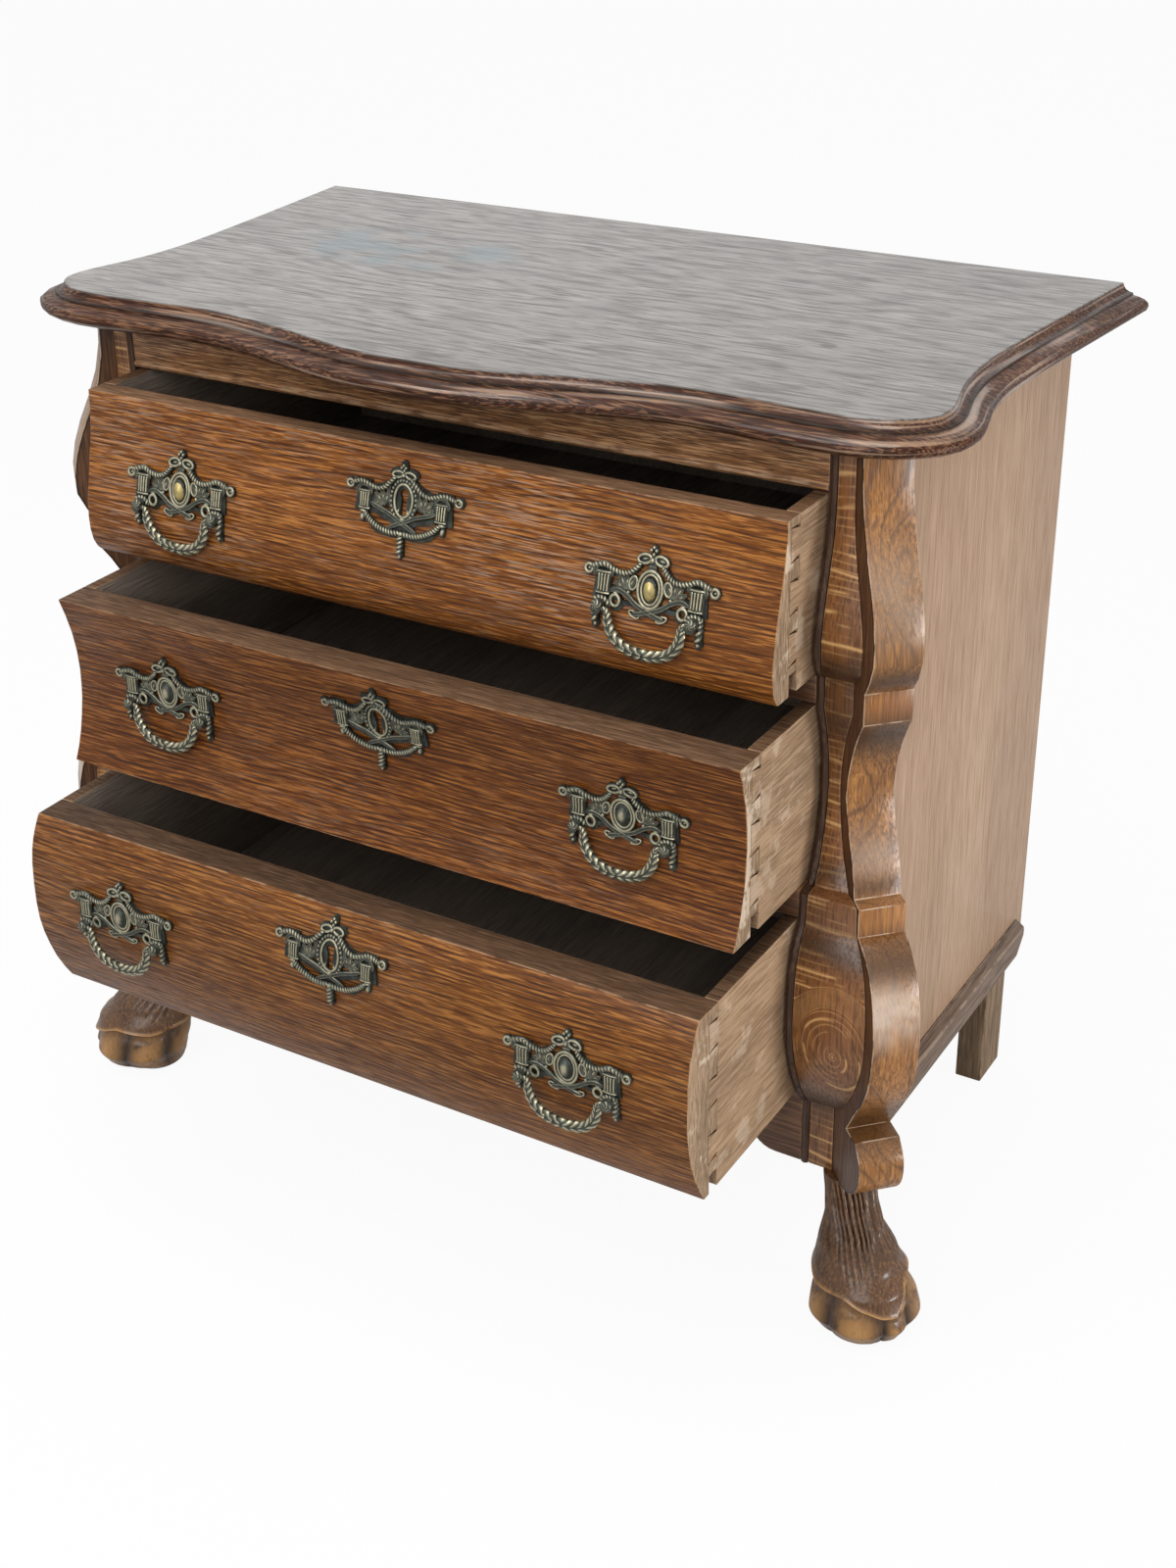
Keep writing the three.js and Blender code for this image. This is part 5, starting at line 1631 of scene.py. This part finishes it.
@dataclass
class Escutcheon:
    """The keyhole plate, with its garland and tassel."""

    bench: Bench
    drawer: str
    z: float

    def draw(self, cast: Ornament) -> None:
        """Draws the relief.

        Args:
            cast: The ornament to draw in.
        """
        cast.hoop(0, 0.6, 8.4, 12.8, 1.5)
        cast.hoop(0, 0.6, 11.6, 15.6, 1.6, 0, 26)
        cast.drop(0, 20.2, 2.4, 2.4, 3.4)
        cast.drop(0, 23.8, 1.7, 2.0, 2.4)
        for u, w in ((-1.9, 26.2), (1.9, 26.2), (0, 28.2)):
            cast.drop(u, w, 1.8, 1.9, 3.0)
        swag = [(6.5, 18.6), (11.5, 14), (17, 9), (24, 6.8), (31, 8.4), (38, 10.4), (45, 9.0), (49, 7)]
        cast.pair(swag, 2.3, 9, 0.75)
        ribbon = [(31, -5), (22, -8.0), (13, -10.6), (4, -14.6), (-4, -18), (-14, -22.6)]
        cast.pair(ribbon, 1.9, 0, 0.6)
        garland = [(35.5, -12.6), (29, -18.4), (20, -22.8), (10, -24.8), (0, -24.2)]
        cast.pair(garland, 2.6, 8, 0.55)
        for sign in (-1, 1):
            cast.hoop(5.8 * sign, 20.4, 4.8, 2.4, 1.4, -10 * sign)
            for lean, length in ((-22, 12.5), (8, 13), (40, 13), (72, 10)):
                cast.leaf((18.6 * sign, -6.0), lean * sign, length, 3.8)
            curl = [(8.4, -8.5), (12.4, -2), (14.4, 5), (12.6, 11)]
            cast.cord([(u * sign, w) for u, w in curl], 1.4, 0)
            cast.drop(4.6 * sign, -8.6, 1.6, 3.8, 2.2, 18 * sign)
            cast.fluted_block(35.6 * sign, -3.6, 6.6, 8.6, 3.6)
            arch = [(29.6, 0.6), (30.4, 5), (34, 8), (39, 7.4), (42, 3.6), (42.2, -0.6)]
            cast.cord([(u * sign, w) for u, w in arch], 1.5, 0, 1.2)
            cast.hoop(50.4 * sign, 6.6, 2.8, 2.8, 1.5)
            cast.drop(50.4 * sign, 6.6, 1.5, 1.5, 1.3)
            cast.drop(37.4 * sign, -17.4, 2.6, 4.0, 2.4, -8 * sign)
            cast.drop(36.6 * sign, -12.6, 4.6, 1.9, 3.0)
        cast.drop(0, -13.6, 3.4, 2.2, 2.8)
        cast.drop(0, -24.8, 3.4, 2.8, 3.6)
        cast.cord([(0, -25.5), (0.4, -33), (0, -41)], 3.1, 2.6, 0.5)
        cast.drop(0, -41.6, 2.3, 2.4, 2.4)

    def build(self, face: DrawerFace, brass: bpy.types.Material) -> None:
        """Builds the keyhole plate in place of its node.

        Args:
            face: The drawer's face.
            brass: The metal.
        """
        cast = Ornament(self.bench)
        self.draw(cast)
        cast.mount(f"{self.drawer}_escutcheon", self.drawer, face, 0.0, self.z, brass)


@dataclass
class Bail:
    """A swing bail, plaited like a laurel garland, thickest at its belly.

    Its sizes are in millimetres, but for foot_band. A row of neck gives a place across, a
    place upward and the radius there, and one of bow shares of the half width and of the
    drop and the radius.
    """

    bench: Bench
    drawer: str
    side: Side
    pivot: Vector
    neck: tuple[tuple[float, float, float], ...] = ((40.4, 0.0, 1.9), (34.8, 0.0, 1.9), (32.2, -0.5, 2.2))
    half_width: float = 30.4
    drop: float = 30.0
    bow: tuple[tuple[float, float, float], ...] = (
        (1.01, 0.13, 3.2), (0.985, 0.36, 3.9), (0.87, 0.63, 4.2), (0.62, 0.87, 4.4), (0.3, 0.975, 4.5),
        (0.0, 1.0, 4.5),
    )
    leaves: float = 11.0
    leaf_lean: float = 0.9
    leaf_rise: float = 0.34
    leaf_sink: float = 0.2
    plain_radius: float = 2.6
    plait_fade: float = 0.8
    foot_band: float = 0.004
    polish: float = 0.24
    grid: tuple[int, int] = (300, 32)

    def build(self, brass: bpy.types.Material) -> None:
        """Builds the bail in place of its node.

        Args:
            brass: The metal.
        """
        node = f"{self.drawer}_bail_{self.side.word}"
        mesh = self.bench.frame["nodes"][node].data
        lowest = min(corner.co.z for corner in mesh.vertices)
        foot = [corner.co for corner in mesh.vertices if corner.co.z < lowest + self.foot_band]
        middle = sum(foot, Vector()) / len(foot)
        lean = math.atan2(self.pivot.y - middle.y, self.pivot.z - middle.z)
        bow = [(self.half_width * u, -self.drop * w, radius) for u, w, radius in self.bow]
        half = [*self.neck, *bow]
        line = [*half, *[(-u, w, r) for u, w, r in reversed(half[:-1])]]
        points, spans = [(u, w) for u, w, _ in line], len(line) - 1
        tilt = Matrix.Rotation(-lean, 3, "X")

        def radius(along: float) -> float:
            """Gives the plain radius.

            Args:
                along: The share of the way along.

            Returns:
                The radius.
            """
            t = along * spans
            i = min(int(t), spans - 1)
            return line[i][2] + (line[i + 1][2] - line[i][2]) * (t - i)

        def leaf(along: float, round_share: float) -> float:
            """Gives how far a corner is up its leaf.

            Args:
                along: The share of the way along.
                round_share: The share of the way round.

            Returns:
                The height from 0 to 1.
            """
            flank = abs(math.cos(math.tau * round_share))
            phase = abs(along - 0.5) * 2 * self.leaves - flank * self.leaf_lean
            return max(0.0, 1 - (phase % 1.0) * 0.95 - max(0.0, 1 - flank * 6))

        def place(along: float, round_share: float) -> Vector:
            """Gives a corner of the bail.

            Args:
                along: The share of the way along.
                round_share: The share of the way round.

            Returns:
                Its place.
            """
            (u, w), (du, dw) = smooth_line(points, along)
            angle = math.tau * round_share
            plaited = min(1.0, max(0.0, (radius(along) - self.plain_radius) / self.plait_fade))
            carved = self.leaf_rise * leaf(along, round_share) - self.leaf_sink
            r = radius(along) * (1 + plaited * carved)
            out, up = r * math.cos(angle), r * 0.8 * math.sin(angle)
            return self.pivot + tilt @ (Vector((u - dw * out, up, w + du * out)) * MM)

        def handled(along: float, round_share: float) -> float:
            """Gives the relief, raised because hands keep a bail brighter than its plate."""
            return self.polish + leaf(along, round_share)

        made = self.bench.wrapped(f"{node}_cast", *self.grid, place, {"relief": handled})
        self.bench.only(made)
        bpy.ops.object.shade_smooth_by_angle(angle=math.radians(60))
        self.bench.dress(made, f"bail_{self.drawer}_{self.side.word}", "brass", brass, node)


@dataclass
class DrawerFittings:
    """The places of one drawer's brass."""

    bench: Bench
    drawer: str
    key_drop: float
    pivot_drop: float = 0.017

    def build(self, joints: dict[str, dict], brass: bpy.types.Material) -> None:
        """Builds two plates, two bails and a keyhole plate.

        Args:
            joints: The record's joints by name.
            brass: The metal.
        """
        for side in Side:
            pivot = Vector(joints[f"bail_{self.drawer}_{side.word}_swing"]["pos_m"])
            face = DrawerFace(self.bench.frame, self.drawer, pivot.x)
            HandlePlate(self.bench, self.drawer, side, pivot.x, pivot.z + self.pivot_drop).build(face, brass)
            Bail(self.bench, self.drawer, side, pivot).build(brass)
        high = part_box(f"{self.drawer}_front")[1].z
        face = DrawerFace(self.bench.frame, self.drawer, 0.0)
        Escutcheon(self.bench, self.drawer, high - self.key_drop).build(face, brass)


# ----------------------------------------------------------------------------- studio


@dataclass
class Studio:
    """The pale floor, the soft lamps and the camera of the photograph, which is tilted by its roll."""

    azimuth: float = 31.36
    elevation: float = 28.11
    roll: float = -1.20
    lens: float = 49.14
    place: tuple[float, float, float] = (0.9224, -1.4083656, 1.2518)
    room_light: float = 0.72
    floor_width: float = 30.0
    floor_colour: Colour = (0.42, 0.42, 0.42)
    floor_glow: float = 1.04
    glow_share: float = 0.9
    floor_mirrored: float = 0.4
    aim: tuple[float, float, float] = (0.0, 0.0, 0.4)
    lamps: tuple[tuple[str, tuple[float, float, float], float, float], ...] = (
        ("overhead", (-0.3, -0.5, 2.6), 2.2, 36.0),
        ("window", (0.6, -2.5, 2.1), 2.2, 44.0),
        ("side", (2.6, 0.0, 0.38), 0.74, 28.0),
    )

    def camera(self) -> None:
        """Sets up the camera."""
        a, e = math.radians(self.azimuth), math.radians(self.elevation)
        back = Vector((math.sin(a) * math.cos(e), -math.cos(a) * math.cos(e), math.sin(e)))
        right = Vector((math.cos(a), math.sin(a), 0))
        up = back.cross(right)
        turn = Matrix((right, up, back)).transposed() @ Matrix.Rotation(math.radians(self.roll), 3, "Z")
        data = bpy.data.cameras.new("camera")
        data.sensor_fit, data.sensor_height, data.lens = "VERTICAL", 36.0, self.lens
        data.clip_start, data.clip_end = 0.05, 50.0
        camera = bpy.data.objects.new("camera", data)
        camera.matrix_world = Matrix.Translation(self.place) @ turn.to_4x4()
        bpy.context.scene.collection.objects.link(camera)
        bpy.context.scene.camera = camera

    def lamp(self, name: str, place: tuple[float, float, float], size: float, watts: float) -> None:
        """Hangs one soft lamp that faces the chest.

        Args:
            name: Its name.
            place: Its place.
            size: Its width.
            watts: Its power.
        """
        data = bpy.data.lights.new(name, "AREA")
        data.shape, data.size, data.energy = "DISK", size, watts
        lamp = bpy.data.objects.new(name, data)
        lamp.location = place
        lamp.rotation_mode = "QUATERNION"
        lamp.rotation_quaternion = (Vector(self.aim) - Vector(place)).to_track_quat("-Z", "Y")
        bpy.context.scene.collection.objects.link(lamp)

    def world(self) -> None:
        """Lights the room evenly and shows it white."""
        world = bpy.data.worlds.new("room")
        bpy.context.scene.world = world
        graph = Graph(world)
        light = graph.node("ShaderNodeBackground", None, {"Color": WHITE, "Strength": self.room_light})
        shown = graph.node("ShaderNodeBackground", None, {"Color": WHITE})
        inputs = {0: graph.seen(), 1: light.outputs[0], 2: shown.outputs[0]}
        mix = graph.node("ShaderNodeMixShader", None, inputs)
        graph.node("ShaderNodeOutputWorld", None, {"Surface": mix.outputs[0]})

    def floor(self) -> None:
        """Lays the white floor, which keeps a soft shadow."""
        bpy.ops.mesh.primitive_plane_add(size=self.floor_width, location=(0, 0, 0))
        made = bpy.context.object
        made.name = "floor"
        graph = Graph.material("white_floor")
        matt = graph.node("ShaderNodeBsdfDiffuse", None, {"Color": self.floor_colour})
        glow = graph.node("ShaderNodeEmission", None, {"Color": WHITE, "Strength": self.floor_glow})
        share = graph.seen(self.floor_mirrored) * self.glow_share
        mix = graph.node("ShaderNodeMixShader", None, {0: share, 1: matt.outputs[0], 2: glow.outputs[0]})
        made.data.materials.append(graph.finish(mix))

    def build(self) -> None:
        """Sets up the whole studio."""
        bpy.context.scene.view_settings.view_transform = "Standard"
        self.camera()
        self.world()
        self.floor()
        for lamp in self.lamps:
            self.lamp(*lamp)


# ------------------------------------------------------------------------------- main


def board_looks() -> dict[str, bpy.types.Material]:
    """Builds the finishes of the boards that all drawers share.

    Returns:
        The materials by the parts that they are for.
    """
    oaks = {
        "end": Oak(
            "front_end_grain", (0.3, 0.195, 0.115), (0.47, 0.34, 0.22), (0.12, 0.07, 0.04), Grain.UPRIGHT,
            patch_share=0.75, fibre=(60.0, 420.0), streak_share=0.5, pore_share=0.5, roughness=0.72, coat=0.0,
        ),
        "raw": Oak(
            "side_raw_oak", (0.35, 0.22, 0.125), (0.48, 0.33, 0.205), (0.14, 0.083, 0.045),
            Grain.ALONG_DEPTH, patch_share=0.3, fibre=(26.0, 420.0), streak_share=0.5, pore_share=0.45,
            soot_share=0.35, roughness=0.74, coat=0.0,
        ),
        "inner": Oak(
            "drawer_inside", (0.2, 0.155, 0.12), (0.28, 0.225, 0.18), (0.1, 0.074, 0.056),
            Grain.ALONG_DEPTH, streak_share=0.4, pore_share=0.35, roughness=0.72, coat=0.0,
            worn=(0.24, 0.17, 0.11),
        ),
    }
    return {name: oak.material() for name, oak in oaks.items()}


@dataclass(frozen=True)
class DrawerStyle:
    """What differs between the drawers, since each front is cut from its own board.

    The middle of the keyhole plate lies key_drop below the front's top. The stain is a
    share of the light that the front lets back, warmth is the share of green and blue that
    is left, the fifth field is the share of whitened fibres, partly pale pores and partly
    painted sheen, and the last is the share of light that the upper edges let back, which
    is less on the lower drawers.
    """

    drawer: str
    key_drop: float
    stain: float
    warmth: float
    dust: float
    dirt: float

    def tint(self, red: float, green: float, blue: float) -> Colour:
        """Gives a colour under the stain."""
        return red * self.stain, green * self.stain * self.warmth, blue * self.stain * self.warmth**2

    def front(self) -> bpy.types.Material:
        """Builds the finish of the front.

        Returns:
            The material.
        """
        # The whitened fibres on the fronts are partly painted sheen.
        oak = Oak(
            f"{self.drawer}_front_oak", self.tint(0.165, 0.051, 0.007), self.tint(0.4, 0.16, 0.035),
            self.tint(0.04, 0.011, 0.002), Grain.ALONG_WIDTH, fibre=(30.0, 600.0), figure_depth=0.86,
            streak_share=0.75, pore_share=0.35, sharpness=1.3, line=(17.0, 0.0041), line_share=0.95,
            dust_share=self.dust, worn=(0.4, 0.22, 0.11), worn_share=0.6, roughness=0.4, coat=0.08,
            sheen_level=0.16,
        )
        return oak.material()

    def lip(self) -> bpy.types.Material:
        """Builds the finish of the upper edges, handled for years.

        Returns:
            The material.
        """
        # The upper edges are darker on the lower drawers.
        ground, streak, pore = (
            tuple(channel * self.dirt for channel in colour)
            for colour in ((0.14, 0.07, 0.033), (0.26, 0.145, 0.078), (0.04, 0.02, 0.011))
        )
        oak = Oak(
            f"{self.drawer}_lip", ground, streak, pore, Grain.ALONG_WIDTH, fibre=(30.0, 500.0),
            roughness=0.65, coat=0.0, sheen_level=0.2, worn=(0.3, 0.19, 0.11),
        )
        return oak.material()


DRAWERS = (
    DrawerStyle("top", 0.04, 0.98, 0.98, 0.34, 0.9),
    DrawerStyle("middle", 0.0415, 0.74, 0.92, 0.1, 0.66),
    DrawerStyle("bottom", 0.036, 0.88, 1.02, 0.1, 0.55),
)


def main() -> None:
    """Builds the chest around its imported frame."""
    logging.basicConfig(level=logging.INFO, format="%(message)s")
    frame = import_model()
    joints = {joint["name"]: joint for joint in frame["joints"]}
    bench = Bench(frame)
    Studio().build()
    Carcass(bench).build()
    claw = Oak(
        "foot_oak_carved", (0.1, 0.043, 0.015), (0.21, 0.1, 0.037), (0.026, 0.011, 0.005), Grain.UPRIGHT,
        streak_share=0.5, worn=(0.5, 0.265, 0.09), worn_share=0.95, chipped=0.3, soot_share=0.35,
        roughness=0.45, coat=0.45, sheen_level=0.2, depth=0.0001,
    )
    wood = claw.material()
    for side in Side:
        CarvedFoot(bench, side).build(wood)
    shared = board_looks()
    brass = AgedBrass().material()
    for style in DRAWERS:
        Drawer(bench, style.drawer, {**shared, "front": style.front(), "lip": style.lip()}).build()
        DrawerFittings(bench, style.drawer, style.key_drop).build(joints, brass)


if __name__ == "__main__":
    main()
